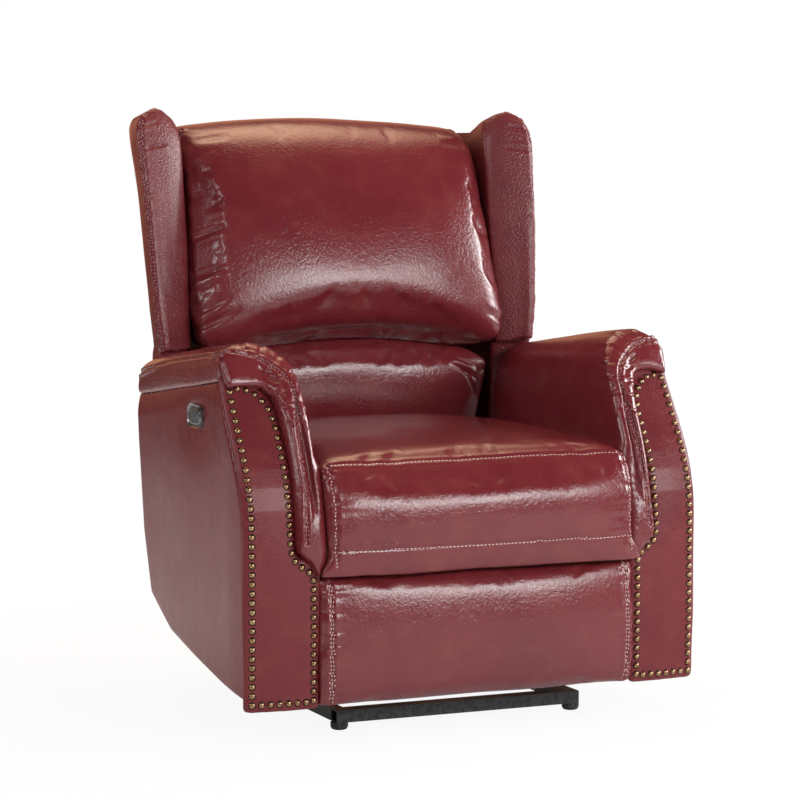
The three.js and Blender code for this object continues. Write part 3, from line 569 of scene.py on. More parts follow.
def skin_over(name, node, voxel, smoothing=4, crispness=None):
    """A copy of a solid, rounded by subdivision and remeshed into even small faces.

    crispness, from 0 to 1, is how well its sharp edges hold. A solid without it isn't rounded.
    """
    bm = merged_copy(node)
    bmesh.ops.join_triangles(bm, faces=bm.faces, angle_face_threshold=0.6, angle_shape_threshold=0.9)
    crease = bm.edges.layers.float.new("crease_edge")
    for edge in bm.edges:
        if edge.calc_face_angle(0) > SHARP_ANGLE:
            edge[crease] = crispness or 0
    piece = new_piece(name, bm)
    if crispness is not None:
        round_through_corners(piece)
    even = piece.modifiers.new("even", "REMESH")
    even.mode = "VOXEL"
    even.voxel_size = voxel
    calm = piece.modifiers.new("calm", "SMOOTH")
    calm.iterations = smoothing
    return applied(piece)


def subdivided(piece):
    finer = piece.modifiers.new("finer", "SUBSURF")
    finer.levels = finer.render_levels = 1
    applied(piece)


def inflate(piece, cap):
    """Swells the piece as padded leather, by cloth simulation, each point by no more than the cap."""
    cloth = piece.modifiers.new("leather_cover", "CLOTH")
    settings = cloth.settings
    settings.quality = 5
    settings.mass = 0.4
    settings.tension_stiffness = 18
    settings.compression_stiffness = 18
    settings.bending_stiffness = 2
    settings.use_pressure = True
    settings.uniform_pressure_force = CLOTH_PRESSURE
    settings.effector_weights.gravity = 0
    before = points_of(piece)
    for number in range(1, CLOTH_FRAMES + 1):
        scene.frame_set(number)
    after = evaluated_points(piece)
    piece.modifiers.clear()
    scene.frame_set(1)
    move = after - before
    length = np.linalg.norm(move, axis=1, keepdims=True)
    move *= np.minimum(1, cap / np.maximum(length, 1e-9))
    set_points(piece, before + move)


# Moves of a whole skin

def planes(low, high):
    """The axis, side and place of each plane of a box. A place that is None has no plane."""
    for axis in range(3):
        for place, side in ((low[axis], -1), (high[axis], 1)):
            if place is not None:
                yield axis, side, place


def keep_inside(piece, low=(None, None, None), high=(None, None, None), soft=6 * MM):
    """Flattens the piece where it would pass a plane, as padding does against its neighbour."""
    points = points_of(piece)
    for axis, side, limit in planes(low, high):
        past = side * (points[:, axis] - limit) + soft
        pressed = np.where(past > 0, soft * (1 - np.exp(-np.maximum(past, 0) / soft)), past)
        points[:, axis] = limit + side * (pressed - soft)
    set_points(piece, points)


def fill_box(piece, low, high):
    """Stretches the piece from its middle until its faces reach the given planes."""
    points = points_of(piece)
    middles = (points.min(0) + points.max(0)) / 2
    for axis, side, limit in planes(low, high):
        middle = middles[axis]
        outward = side * (points[:, axis] - middle)
        face = np.quantile(outward, 0.98)  # only bulges stand further out
        stretch = max(1, side * (limit - middle) / face)
        points[outward > 0, axis] = middle + (points[outward > 0, axis] - middle) * stretch
    set_points(piece, points)


def widen(piece, from_x, amount, low, high):
    """Pushes a piece's sides outward beyond from_x, from nothing at the low height to all at the high one."""
    points = points_of(piece)
    share = ramp(np.abs(points[:, 0]), from_x, from_x + 30 * MM) * ramp(points[:, 2], low, high)
    points[:, 0] += np.sign(points[:, 0]) * share * amount
    set_points(piece, points)


def tip_face(piece, front, low, high, low_shift, high_shift):
    """Moves the face of a cushion back, by one amount at the low height and by another at the high one."""
    points = points_of(piece)
    shift = low_shift + (high_shift - low_shift) * ramp(points[:, 2], low, high)
    points[:, 1] += shift * ramp(points[:, 1], front, front - 40 * MM)
    set_points(piece, points)


class Skin:
    """A piece's points while seams, gathers and creases are worked into them."""

    def __init__(self, piece):
        self.piece = piece
        self.points = points_of(piece)
        self.normals = normals_of(piece)

    def done(self):
        set_points(self.piece, self.points)
        self.piece.data.shade_smooth()

    def push(self, chosen, amount):
        self.points[chosen] += self.normals[chosen] * amount[:, None]

    def grow_edges(self, amount):
        """Widens a panel that faces front or rear by the amount all round its edge, or narrows it."""
        share = 1 - np.abs(self.normals[:, 1])
        self.points += self.normals * (share * amount)[:, None]

    def raise_top(self, amount, reach, axis):
        """Lifts the top edge of a panel that runs along an axis, so that it goes on behind the next piece."""
        slices = np.round(self.points[:, axis] / (10 * MM)).astype(int)
        for number in np.unique(slices):
            rows = np.flatnonzero(slices == number)
            top = self.points[rows, 2].max()
            self.points[rows, 2] += amount * ramp(self.points[rows, 2], top - reach, top)

    def seam(self, path, width, depth, roll):
        """A narrow valley along the path with a soft roll on each side."""
        chosen, _, _, distance = near_path(self.points, self.normals, path, width * 6)
        valley = -depth * np.exp(-(distance / width) ** 2)
        rolls = roll * np.exp(-((distance - 2.6 * width) / (1.4 * width)) ** 2)
        self.push(chosen, valley + rolls)

    def gathers(self, path, reach, height, pitch, seed, skew=0.0):
        """Puffs between narrow pleats that run out across the path, with uneven spacing and length."""
        fade = 14 * MM
        chosen, along, across, distance = near_path(self.points, self.normals, path, reach * 2.5)
        total = lengths_along(path)[-1]
        random = np.random.default_rng(seed)
        places = [-3 * pitch]
        while places[-1] < total + 3 * pitch:
            places.append(places[-1] + pitch * random.uniform(0.55, 1.5))
        places = np.array(places)
        longs = reach * random.uniform(0.35, 1.1, len(places))
        leaning = along - skew * np.abs(across)
        number = np.clip(np.searchsorted(places, leaning) - 1, 0, len(places) - 2)
        share = ramp(leaning, places[number], places[number + 1])
        long = longs[number] * (1 - share) + longs[number + 1] * share
        puff = np.sqrt(np.sin(np.pi * share)) - 0.75
        ends = ramp(np.minimum(along, total - along), 0, fade)
        self.push(chosen, height * puff * ends * np.exp(-(distance / long) ** 2))

    def crease(self, start, end, depth, width, towards=None):
        """One fold from start to end in millimetres, deepest in its middle and fading at both ends."""
        path = laid_on(self.piece, [start, end], towards)
        total = lengths_along(path)[-1]
        chosen, along, across, distance = near_path(self.points, self.normals, path, width * 4)
        fade = np.sin(np.pi * ramp(along, 0, total)) ** 0.7
        valley = -depth * np.exp(-(distance / width) ** 2)
        ridge = 0.4 * depth * np.exp(-((across - 1.9 * width) / (1.2 * width)) ** 2)
        self.push(chosen, fade * (valley + ridge))

    def ripples(self, scale, height, seed, stretch=(1, 1, 1)):
        """Low uneven swells all over, as leather has over padding."""
        offset = Vector((seed, seed * 0.7, seed * 1.3))
        places = self.points * np.array(stretch) * scale
        waves = np.array([noise.noise(Vector(place) + offset) for place in places])
        self.push(np.arange(len(self.points)), height * waves)


# Finished pieces and their stitches

def finished(name, bm, material, body):
    """A new piece with its finish and its body."""
    piece = new_piece(name, bm)
    piece.data.shade_smooth()
    piece.data.materials.append(material)
    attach(piece, body)
    return piece


def dressed(piece, material, body, slot_name, *nodes):
    """Gives a soft piece its leather and its body, and lets it stand for its solids."""
    piece.data.materials.clear()
    piece.data.materials.append(material)
    piece.data.shade_smooth()
    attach(piece, body)
    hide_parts(*nodes)


def stitch_row(name, piece, seam, offset, body, thread=PINK_THREAD):
    """Separate short stitches on the piece's surface, beside a seam."""
    path = shifted(seam, piece, offset)
    tree = tree_of(piece)
    lengths = lengths_along(path)
    size = Matrix.Diagonal((STITCH_LENGTH, STITCH_THICKNESS, STITCH_THICKNESS, 1))
    bm = bmesh.new()
    for distance in np.arange(STITCH_PITCH, lengths[-1], STITCH_PITCH):
        here, ahead = (Vector([np.interp(place, lengths, path[:, axis]) for axis in range(3)])
                       for place in (distance, distance + 1 * MM))
        spot, normal = tree.find_nearest(here)[:2]
        along = (ahead - here).normalized()
        along = (along - normal * along.dot(normal)).normalized()
        turn = Matrix((along, normal.cross(along), normal)).transposed().to_4x4()
        place = Matrix.Translation(spot + normal * STITCH_THICKNESS * (0.5 - STITCH_SINK))
        bmesh.ops.create_icosphere(bm, subdivisions=1, radius=0.5, matrix=place @ turn @ size)
    finished(name, bm, thread, body)


def double_row(name, piece, seam, offset, body, thread=DARK_THREAD):
    """A row of stitches on each side of a seam."""
    for number, shift in enumerate((offset, -offset), 1):
        stitch_row(f"{name}_{number}", piece, seam, shift, body, thread)


# Seat

def build_seat_cushion():
    piece = skin_over("seat_leather", "seat_cushion", voxel=6 * MM, smoothing=11, crispness=0.85)
    low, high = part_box("seat_cushion")
    inflate(piece, cap=8 * MM)
    tip_face(piece, -330 * MM, low=290 * MM, high=430 * MM, low_shift=-5 * MM, high_shift=5 * MM)
    fill_box(piece, (low.x - 3 * MM, None, low.z - 1 * MM), (high.x + 3 * MM, None, None))
    keep_inside(piece, (low.x - 1.5 * MM, None, low.z), (high.x + 1.5 * MM, high.y, None), soft=3 * MM)
    widen(piece, from_x=220 * MM, amount=13 * MM, low=288 * MM, high=266 * MM)
    subdivided(piece)
    half = high.x - 9 * MM
    ends = np.linspace(-half, half, 9) / MM
    top = laid_on(piece, [(x, -372, 428) for x in ends], FRONT_TOP)
    low_seam = laid_on(piece, [(x, -400, 298) for x in ends], FRONT)
    upright = [(half / MM, -400, z) for z in (424, 380, 340, 298, 270)]
    uprights = on_both_sides(piece, upright, FRONT)
    skin = Skin(piece)
    skin.ripples(7, 3 * MM, seed=2.0)
    for path in (top, low_seam, *uprights.values()):
        skin.seam(path, width=2.2 * MM, depth=2.0 * MM, roll=0.8 * MM)
    for number, path in enumerate(uprights.values()):
        skin.gathers(path, reach=26 * MM, height=2.4 * MM, pitch=26 * MM, seed=11 + number)
    skin.gathers(low_seam, reach=15 * MM, height=0.8 * MM, pitch=26 * MM, seed=15)
    skin.done()
    stitch_row("seat_top_stitches", piece, top, 3 * MM, "seat")
    stitch_row("seat_low_stitches", piece, low_seam, 2.5 * MM, "seat")
    for side, path in uprights.items():
        stitch_row(f"seat_side_stitches_{side}", piece, path, -SIDES[side] * 3 * MM, "seat")
    dressed(piece, SMOOTH_LEATHER, "seat", "leather", "seat_cushion")


def build_footrest_pad():
    piece = skin_over("footrest_leather", "footrest_pad", voxel=5 * MM, smoothing=10, crispness=0.9)
    low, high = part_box("footrest_pad")
    inflate(piece, cap=6 * MM)
    tip_face(piece, -360 * MM, low=60 * MM, high=250 * MM, low_shift=-3 * MM, high_shift=3 * MM)
    fill_box(piece, (low.x, None, low.z), (high.x, None, high.z + 2 * MM))
    keep_inside(piece, (low.x, None, low.z), (high.x, high.y, high.z + 1.5 * MM), soft=2 * MM)
    subdivided(piece)
    uprights = on_both_sides(piece, [(254, -390, z) for z in (248, 200, 150, 100, 62)], FRONT)
    skin = Skin(piece)
    skin.ripples(7, 2.5 * MM, seed=5.0)
    for number, path in enumerate(uprights.values()):
        skin.seam(path, width=2.4 * MM, depth=2.6 * MM, roll=1.0 * MM)
        skin.gathers(path, reach=26 * MM, height=2.6 * MM, pitch=20 * MM, seed=21 + number)
    skin.done()
    for side, path in uprights.items():
        double_row(f"footrest_stitches_{side}", piece, path, 3 * MM, "footrest", PINK_THREAD)
    dressed(piece, SMOOTH_LEATHER, "footrest", "leather", "footrest_pad")


# Back

# Depth and height of the seam down each side of the back cushion
BACK_SIDE_SEAM = [(214, 600), (203, 640), (198, 700), (210, 770), (240, 850), (264, 910), (285, 940)]

# Pleats of the back cushion's sides, each as its side, the height of its notch, its length inward, how far
# it climbs on the way in, its depth and its width
BACK_PLEATS = [
    ("left", 604, 70, 40, 4.5, 6), ("left", 630, 50, 34, 3, 5.5), ("left", 694, 44, 20, 6, 6.5),
    ("left", 759, 42, 22, 6, 6.5), ("left", 925, 50, 10, 2.5, 9), ("right", 604, 50, 28, 3.5, 6),
    ("right", 758, 30, 12, 2.5, 6), ("right", 915, 40, 8, 2.5, 9),
]
PLEAT_FOOT = 284

# Folds at each end of the lumbar cushion, each with its two ends, depth and width
LUMBAR_FOLDS = [
    ((258, 130, 505), (190, 125, 545), 6, 4),
    ((262, 130, 475), (215, 125, 530), 5, 3.5),
    ((250, 130, 540), (205, 130, 562), 3, 3),
]


def build_back_cushion():
    piece = skin_over("back_leather", "back_cushion", voxel=6 * MM, smoothing=11, crispness=0.25)
    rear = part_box("back_cushion")[1].y
    inflate(piece, cap=8 * MM)
    widen(piece, from_x=200 * MM, amount=9 * MM, low=820 * MM, high=930 * MM)
    keep_inside(piece, high=(None, rear, None))
    subdivided(piece)
    sides = on_both_sides(piece, [(300, y, z) for y, z in BACK_SIDE_SEAM], (-1, 0, 0))
    skin = Skin(piece)
    skin.ripples(6, 4 * MM, seed=8.0)
    for number, path in enumerate(sides.values()):
        skin.seam(path, width=3 * MM, depth=4 * MM, roll=2 * MM)
        skin.gathers(path, reach=62 * MM, height=4.5 * MM, pitch=62 * MM, seed=31 + number)
    for side, height, length, climb, depth, width in BACK_PLEATS:
        sign = SIDES[side]
        pleat = [(PLEAT_FOOT, 150, height), (PLEAT_FOOT - length, 100, height + climb)]
        skin.crease(*on_side(pleat, sign), depth * MM, width * MM, (-0.35 * sign, 1, 0))
    skin.done()
    for side, path in sides.items():
        stitch_row(f"back_stitches_{side}", piece, path, -SIDES[side] * 4 * MM, "back", DARK_THREAD)
    dressed(piece, SMOOTH_LEATHER, "back", "leather", "back_cushion")


def build_lumbar_cushion():
    piece = skin_over("lumbar_leather", "lumbar_cushion", voxel=6 * MM, smoothing=11, crispness=0.25)
    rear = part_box("lumbar_cushion")[1].y
    inflate(piece, cap=6 * MM)
    tip_face(piece, 180 * MM, low=400 * MM, high=580 * MM, low_shift=0, high_shift=22 * MM)
    keep_inside(piece, high=(None, rear, None))
    subdivided(piece)
    skin = Skin(piece)
    skin.ripples(6, 4 * MM, seed=12.0)
    for number, sign in enumerate(SIDES.values()):
        edge = laid_on(piece, [(sign * 262, 130, z) for z in (580, 520, 460, 400)], FRONT)
        skin.gathers(edge, reach=42 * MM, height=5 * MM, pitch=34 * MM, seed=41 + number, skew=0.5)
        for start, end, depth, width in LUMBAR_FOLDS:
            skin.crease(*on_side((start, end), sign), depth * MM, width * MM)
    skin.done()
    dressed(piece, SMOOTH_LEATHER, "back", "leather", "lumbar_cushion")


def build_back_panel():
    piece = skin_over("back_panel_leather", "back_panel", voxel=5 * MM, smoothing=5)
    skin = Skin(piece)
    skin.grow_edges(-5 * MM)
    skin.ripples(5, 3 * MM, seed=17.0, stretch=(1, 1, 0.5))
    skin.done()
    dressed(piece, SIDE_LEATHER, "back", "leather", "back_panel")


# Wings

# How far out a wing's outer face stands at each depth just above the arm, and in its solid's tail
WING_DEPTHS = [130 * MM, 175 * MM, 191 * MM, 254 * MM, 300 * MM, 330 * MM]
WING_WIDTHS = [346.8 * MM, 345.6 * MM, 340.6 * MM, 316 * MM, 298 * MM, 298 * MM]
TAIL_WIDTH = 342.4 * MM

# The seam up a wing's outer front corner: its foot, and how far it runs out and rearwards on each millimetre
WING_SEAM_FOOT = (351, 132, 568)
WING_SEAM_OUT = 0.048
WING_SEAM_BACK = 0.12


def slim_tail(piece, inner):
    """Brings the wing's tail, below the arm's top, into line with the side above it."""
    points = points_of(piece)
    wide = np.abs(points[:, 0])
    wanted = np.interp(points[:, 1], WING_DEPTHS, WING_WIDTHS)
    slimmer = inner + (wide - inner) * (wanted - inner) / (TAIL_WIDTH - inner)
    share = ramp(points[:, 2], 592 * MM, 568 * MM)
    moved = np.where((wide > inner) & (wide > slimmer), wide + (slimmer - wide) * share, wide)
    points[:, 0] = np.sign(points[:, 0]) * moved
    set_points(piece, points)


def rest_on(piece, support, depth_limit, low, high):
    """Draws the lower end of what stands before depth_limit down to the support's surface."""
    tree = tree_of(support)
    sink = 1 * MM
    last_ray = depth_limit - 32 * MM
    points = points_of(piece)
    chosen = (points[:, 1] < depth_limit) & (points[:, 2] < high) & (points[:, 2] > low)
    for number in np.flatnonzero(chosen):
        x, y, z = points[number]
        hit = tree.ray_cast(Vector((x, min(y, last_ray), high)), Vector((0, 0, -1)))[0]
        if hit is not None:
            share = (high - z) / (high - low)
            points[number, 2] = z + (hit.z - sink - low) * min(1, share) ** 2
    set_points(piece, points)


def slope_top(piece, depth, height, fall, least):
    """Lowers a wing's top towards the rear, from a height at a depth down to the least height."""
    squeezed = 0.1
    points = points_of(piece)
    limit = np.maximum(height - fall * (points[:, 1] - depth), least)
    lowered = np.where(points[:, 2] > limit, limit + squeezed * (points[:, 2] - limit), points[:, 2])
    points[:, 2] = np.where(points[:, 1] < depth, points[:, 2], lowered)
    set_points(piece, points)


def build_wing(side, arm_pad):
    sign = SIDES[side]
    piece = skin_over(f"wing_leather_{side}", f"wing_{side}", voxel=3 * MM, crispness=0.4)
    slim_tail(piece, inner=286 * MM)
    rest_on(piece, arm_pad, depth_limit=146 * MM, low=564 * MM, high=640 * MM)
    widen(piece, from_x=316 * MM, amount=4 * MM, low=590 * MM, high=640 * MM)
    slope_top(piece, depth=214 * MM, height=976 * MM, fall=0.42, least=942 * MM)
    wide, depth, foot = WING_SEAM_FOOT
    corner = [(wide + WING_SEAM_OUT * (z - foot), depth + WING_SEAM_BACK * (z - foot), z)
              for z in (575, 650, 750, 850, 930, 975)]
    outer_front = laid_on(piece, on_side(corner, sign))
    skin = Skin(piece)
    skin.ripples(9, 2.5 * MM, seed=3.0 * sign)
    skin.seam(outer_front, width=2.2 * MM, depth=2.4 * MM, roll=1.4 * MM)
    for fold in (((364, 182, 908), (315, 180, 918)), ((364, 200, 946), (326, 190, 954))):
        skin.crease(*on_side(fold, sign), 3.4 * MM, 3 * MM, FRONT)
    skin.gathers(outer_front, reach=16 * MM, height=1.2 * MM, pitch=34 * MM, seed=61 + sign)
    skin.done()
    double_row(f"wing_stitches_{side}", piece, outer_front, -3.5 * MM, "back")
    dressed(piece, PEBBLED_LEATHER, "back", "pebbled_leather", f"wing_{side}")
    piece.data.materials.append(SIDE_LEATHER)
    for face in piece.data.polygons:
        facing_out = face.normal.x * sign > 0.35 and face.normal.y > -0.75
        facing_rear = face.normal.y > 0.5
        face.material_index = 1 if facing_out or facing_rear else 0


# Arms

# Seams of the right arm's pad: up the front between bolster and inner leather, the outer front corner, and
# along the top of the outer band
PAD_FRONT_SEAM = [
    (295, -394, 310), (293, -386, 343), (291, -376, 392), (289, -358, 441), (285, -340, 484),
    (283, -321, 512), (284, -303, 538), (293, -290, 558), (312, -276, 575), (332, -266, 588),
    (355, -262, 594), (374, -256, 597),
]
PAD_CORNER_SEAM = [(376, -254, 597), (384, -262, 575), (386, -268, 550)]
PAD_BAND_SEAM = [
    (377, -252, 596), (383, -222, 587), (383, -190, 588), (382, -158, 582), (382, -80, 573), (382, 0, 561),
    (384, 93, 545), (384, 135, 537),
]

# Single folds of the right arm's pad, each with its two ends, depth and width
PAD_FOLDS = [
    ((312, -286, 562), (330, -276, 572), 3.0, 3.0),
    ((298, -296, 548), (318, -290, 556), 3.6, 3.0),
    ((292, -308, 528), (312, -304, 536), 3.2, 3.0),
    ((290, -320, 508), (308, -318, 514), 3.0, 2.8),
    ((290, -334, 484), (304, -334, 490), 2.4, 2.8),
    ((282, -290, 560), (268, -262, 556), 2.6, 3.0),
    ((278, -304, 540), (265, -280, 530), 2.6, 3.0),
    ((276, -318, 516), (264, -296, 504), 2.4, 3.0),
    ((278, -336, 484), (264, -318, 470), 2.0, 3.0),
    ((300, -276, 572), (285, -230, 582), 2.4, 4.0),
    ((322, -268, 582), (310, -215, 594), 2.4, 4.0),
    ((345, -262, 592), (335, -205, 602), 2.2, 4.0),
]

# How far the padding on each arm stands above its solid
ARM_SWELL = {"left": 0, "right": 6 * MM}

# The outer side panels: how far they bulge, how far their foot is tucked in, and the depth and height of the
# switch, round which the left one stays flat
PANEL_BULGE = 3.5 * MM
PANEL_TUCK = 6 * MM
SWITCH_PLACE = (-154 * MM, 488 * MM)
FLAT_ROUND_SWITCH = 75 * MM

# The nails' line round an arm's front panel, as X and Z
NAIL_OUTLINE = [
    (377, 64), (377, 294), (377, 534), (369, 540), (350, 537), (332, 527), (319, 506), (315, 482),
    (315, 394), (315, 302), (311, 284), (296, 270), (284, 262), (279, 250), (279, 154), (279, 64),
]


def swell_top(piece, amount):
    """Raises the padding on top of an arm, but not its outer edge."""
    points = points_of(piece)
    inside = ramp(np.abs(points[:, 0]), 386 * MM, 352 * MM)
    points[:, 2] += amount * inside * ramp(points[:, 2], 500 * MM, 550 * MM)
    set_points(piece, points)


def press_on_seat(piece, drop, swell, foot_push):
    """Draws the bolster's foot down past the front panel's step, and swells it against the seat's side."""
    points = points_of(piece)
    wide = np.abs(points[:, 0])
    inner = ramp(wide, 288 * MM, 274 * MM)
    beside_seat = ramp(wide, 272 * MM, 264 * MM)
    foot = ramp(points[:, 2], 292 * MM, 272 * MM)
    below_top = ramp(points[:, 2], 440 * MM, 410 * MM)
    points[:, 0] -= np.sign(points[:, 0]) * beside_seat * (swell * below_top + foot_push * foot)
    points[:, 2] -= drop * inner * foot
    set_points(piece, points)


def hang_over(piece, amount, rim_tuck):
    """Lets the pad's front cap hang down to the nails, over the top of the front panel, its rim tucked in."""
    points = points_of(piece)
    wide = np.abs(points[:, 0])
    ahead = ramp(points[:, 1], -250 * MM, -264 * MM)
    outside = ramp(wide, 306 * MM, 322 * MM)
    rim = ramp(wide, 366 * MM, 382 * MM)
    cap = ramp(points[:, 2], 580 * MM, 556 * MM) * ramp(points[:, 2], 528 * MM, 536 * MM)
    points[:, 0] -= np.sign(points[:, 0]) * rim_tuck * ahead * rim * cap
    points[:, 2] -= amount * ahead * outside * cap
    set_points(piece, points)


def build_arm_pad(side):
    sign = SIDES[side]
    piece = skin_over(f"arm_leather_{side}", f"arm_pad_{side}", voxel=2.6 * MM, smoothing=14, crispness=0.85)
    keep_inside(piece, (-388 * MM, None, None), (388 * MM, None, None), soft=3 * MM)
    swell_top(piece, ARM_SWELL[side])
    press_on_seat(piece, drop=15 * MM, swell=8 * MM, foot_push=13 * MM)
    hang_over(piece, amount=10 * MM, rim_tuck=5 * MM)
    front, corner, band = (laid_on(piece, on_side(seam, sign))
                           for seam in (PAD_FRONT_SEAM, PAD_CORNER_SEAM, PAD_BAND_SEAM))
    skin = Skin(piece)
    skin.ripples(8, 3 * MM, seed=20.0 * sign)
    skin.seam(front, width=2.2 * MM, depth=3 * MM, roll=1.6 * MM)
    skin.seam(corner, width=2.0 * MM, depth=2.8 * MM, roll=1.2 * MM)
    skin.seam(band, width=2.0 * MM, depth=3.4 * MM, roll=1.8 * MM)
    lower, upper = np.split(front, [len(front) // 2])
    skin.gathers(upper, reach=28 * MM, height=1.8 * MM, pitch=21 * MM, seed=51 + sign, skew=0.5)
    skin.gathers(lower, reach=14 * MM, height=0.8 * MM, pitch=24 * MM, seed=54 + sign, skew=0.8)
    skin.gathers(band, reach=12 * MM, height=1.0 * MM, pitch=60 * MM, seed=57 + sign, skew=0.5)
    for start, end, depth, width in PAD_FOLDS:
        skin.crease(*on_side((start, end), sign), depth * MM, width * MM)
    skin.done()
    double_row(f"arm_front_stitches_{side}", piece, front, 3.2 * MM, "seat")
    dressed(piece, SMOOTH_LEATHER, "seat", "leather", f"arm_pad_{side}")
    return piece


def build_arm_front(side):
    piece = skin_over(f"arm_front_leather_{side}", f"arm_front_panel_{side}", voxel=3 * MM, smoothing=6)
    skin = Skin(piece)
    skin.grow_edges(4 * MM)
    skin.raise_top(9 * MM, reach=12 * MM, axis=0)
    skin.ripples(9, 1.6 * MM, seed=30.0)
    skin.done()
    dressed(piece, PANEL_LEATHER, "seat", "leather", f"arm_front_panel_{side}")
    return piece


def build_arm_side(side):
    piece = skin_over(f"arm_side_leather_{side}", f"arm_side_panel_{side}", voxel=3 * MM, smoothing=4)
    skin = Skin(piece)
    skin.raise_top(9 * MM, reach=7 * MM, axis=1)
    x, y, z = skin.points.T
    top_edge = 535 * MM - 0.12 * (y + 200 * MM)
    from_front = ramp(y, -350 * MM, -290 * MM)
    from_top = ramp(top_edge - z, 0, 30 * MM)
    bulge = np.sin(np.pi / 2 * from_front) * np.sin(np.pi / 2 * from_top)
    if side == "left":
        switch_depth, switch_height = SWITCH_PLACE
        from_switch = np.hypot(y - switch_depth, 1.3 * (z - switch_height))
        bulge *= 1 - np.exp(-(from_switch / FLAT_ROUND_SWITCH) ** 2)
    tuck = ramp(z, 190 * MM, 80 * MM) ** 2
    outer_face = np.abs(x) > 379 * MM
    skin.points[:, 0] += SIDES[side] * (PANEL_BULGE * bulge - PANEL_TUCK * tuck) * outer_face
    skin.ripples(6, 2 * MM, seed=36.0, stretch=(1, 1, 0.4))
    skin.done()
    dressed(piece, SIDE_LEATHER, "seat", "leather", f"arm_side_panel_{side}")


def build_arm_cover(side):
    """Leather over the outward faces at the rear and the underside of an arm's wooden frame."""
    tree = tree_of(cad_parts[f"arm_frame_{side}"])
    bm = merged_copy(f"arm_frame_{side}")
    bm.normal_update()
    bare = []
    for face in bm.faces:
        turned_out = abs(face.normal.x) < 0.5 and (face.normal.y > 0.1 or face.normal.z < -0.5)
        start = face.calc_center_median() + face.normal * 1 * MM
        if not turned_out or tree.ray_cast(start, face.normal)[0] is not None:
            bare.append(face)
    bmesh.ops.delete(bm, geom=bare, context="FACES")
    bmesh.ops.solidify(bm, geom=bm.faces[:] + bm.edges[:] + bm.verts[:], thickness=-COVER_THICKNESS)
    bmesh.ops.recalc_face_normals(bm, faces=bm.faces)
    cover = finished(f"arm_cover_{side}", bm, SIDE_LEATHER, "seat")
    cover.data.shade_flat()


def build_nails(side, panel):
    before_chair = -0.6
    outline = np.array(NAIL_OUTLINE, float) * MM
    loop = np.vstack([outline, outline[:1]])
    lengths = lengths_along(loop)
    count = round(lengths[-1] / NAIL_PITCH)
    dome = Matrix.Diagonal((NAIL_RADIUS, NAIL_RADIUS, NAIL_HEIGHT, 1))
    flat = Matrix.Diagonal((NAIL_RIM, NAIL_RIM, NAIL_HEIGHT * 0.3, 1))
    tree = tree_of(panel)
    heads = bmesh.new()
    rims = bmesh.new()
    for number in range(count):
        distance = lengths[-1] * number / count
        x, z = (np.interp(distance, lengths, loop[:, axis]) for axis in (0, 1))
        spot, normal = tree.ray_cast(Vector((SIDES[side] * x, before_chair, z)), Vector(FRONT))[:2]
        if spot is None:
            continue
        place = Matrix.Translation(spot) @ normal.to_track_quat("Z", "Y").to_matrix().to_4x4()
        bmesh.ops.create_uvsphere(heads, u_segments=14, v_segments=8, radius=1, matrix=place @ dome)
        # Each head sits on a wider near-black disc: partly patina, partly painted shadow round the nail
        bmesh.ops.create_uvsphere(rims, u_segments=14, v_segments=4, radius=1, matrix=place @ flat)
    nails = finished(f"nail_heads_{side}", heads, BRASS, "seat")
    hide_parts(f"nail_trim_{side}")
    finished(f"nail_rims_{side}", rims, PATINA_AND_SHADE_RIM, "seat")


# Switch

# Steps of the bezel from its outer edge inward, each with its width and how far it rises
BEZEL_STEPS = [(2.2, 2.0), (1.6, 0.4), (1.6, 0.0), (1.4, -2.6), (1.0, -0.4)]
BEZEL_STANDS_OUT = 1.5 * MM


def pill(bm, x, depth, height, half, radius):
    """A flat face with round ends, which faces -X."""
    end_points = 12
    turn = np.linspace(-np.pi / 2, np.pi / 2, end_points)
    rear = [(depth + half - radius + radius * np.cos(t), height + radius * np.sin(t)) for t in turn]
    fore = [(2 * depth - y, 2 * height - z) for y, z in rear]
    face = bm.faces.new([bm.verts.new((x, y, z)) for y, z in rear + fore])
    if face.normal.x > 0:
        face.normal_flip()
    return face


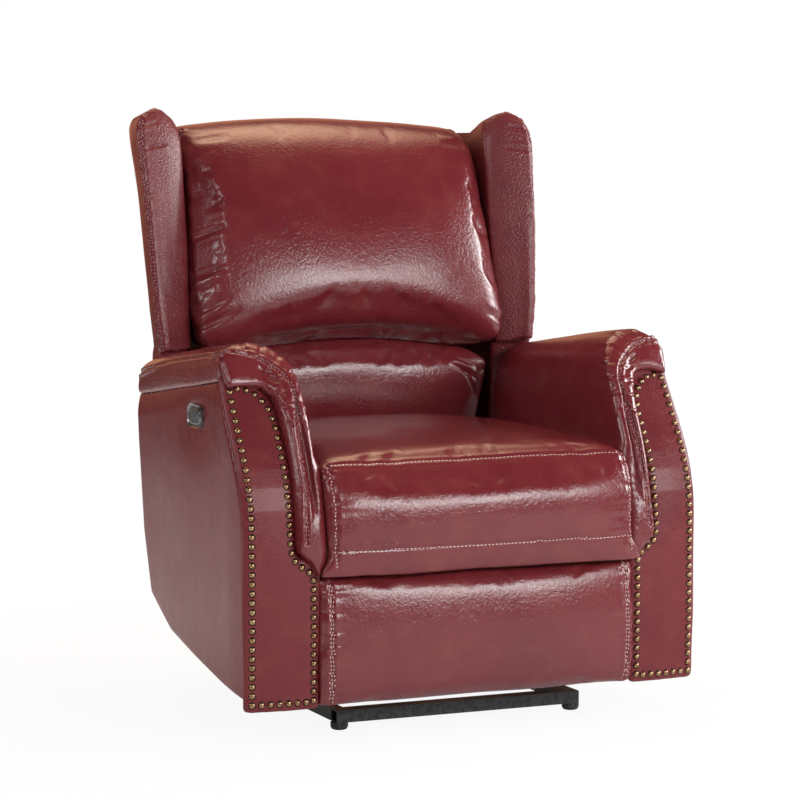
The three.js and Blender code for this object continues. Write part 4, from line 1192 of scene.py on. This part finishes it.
def build_switch():
    """The bezel: a bevelled gunmetal pill, with a recess that holds the two buttons."""
    low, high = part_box("control_bezel")
    depth, height = (low.y + high.y) / 2, (low.z + high.z) / 2
    bm = bmesh.new()
    face = pill(bm, high.x, depth, height, half=(high.y - low.y) / 2, radius=(high.z - low.z) / 2)
    bm.normal_update()
    raised = bmesh.ops.extrude_face_region(bm, geom=[face])
    top = next(item for item in raised["geom"] if isinstance(item, bmesh.types.BMFace))
    bmesh.ops.translate(bm, verts=top.verts, vec=(low.x - BEZEL_STANDS_OUT - high.x, 0, 0))
    for width, rise in BEZEL_STEPS:
        bmesh.ops.inset_region(bm, faces=[top], thickness=width * MM, depth=rise * MM, use_even_offset=True)
    bmesh.ops.recalc_face_normals(bm, faces=bm.faces)
    bm.faces.index_update()
    recess_floor = top.index
    bezel = finished("switch_bezel", bm, SWITCH, "seat")
    bezel.data.shade_flat()
    bezel.data.materials.append(BUTTON)
    bezel.data.polygons[recess_floor].material_index = 1
    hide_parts("control_bezel")


# Hard pieces that keep their solids

HARD_PIECES = [
    (BLACK_STEEL, ["base_rail", "crossbar", "glide", "tilt_bracket"]),
    (ZINC, ["side_plate", "arm_bracket", "back_hinge_pin", "cross_tube", "swing_link", "reach_link",
            "stabilizer_rod", "guide_link", "control_link", "footrest_bracket", "drive_tube",
            "actuator_track", "seat_springs", "back_bracket"]),
    (BOARD, ["seat_frame", "footrest_board", "back_frame", "arm_frame"]),
    (BUTTON, ["open_button", "close_button"]),
    (MOTOR, ["actuator_slider", "actuator_motor", "power_inlet"]),
]


def dress_hard_pieces():
    """Gives each solid whose name holds one of the listed words its finish."""
    for finish, words in HARD_PIECES:
        for node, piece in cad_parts.items():
            if any(word in node for word in words):
                for holder in piece.material_slots:
                    holder.material = finish


build_camera()
build_world()
build_lights()
build_floor()
build_seat_cushion()
build_footrest_pad()
build_back_cushion()
build_lumbar_cushion()
build_back_panel()
for chair_side in SIDES:
    build_wing(chair_side, build_arm_pad(chair_side))
    front_panel = build_arm_front(chair_side)
    build_arm_side(chair_side)
    build_nails(chair_side, front_panel)
    build_arm_cover(chair_side)
build_switch()
dress_hard_pieces()

scene.view_settings.view_transform = "Standard"
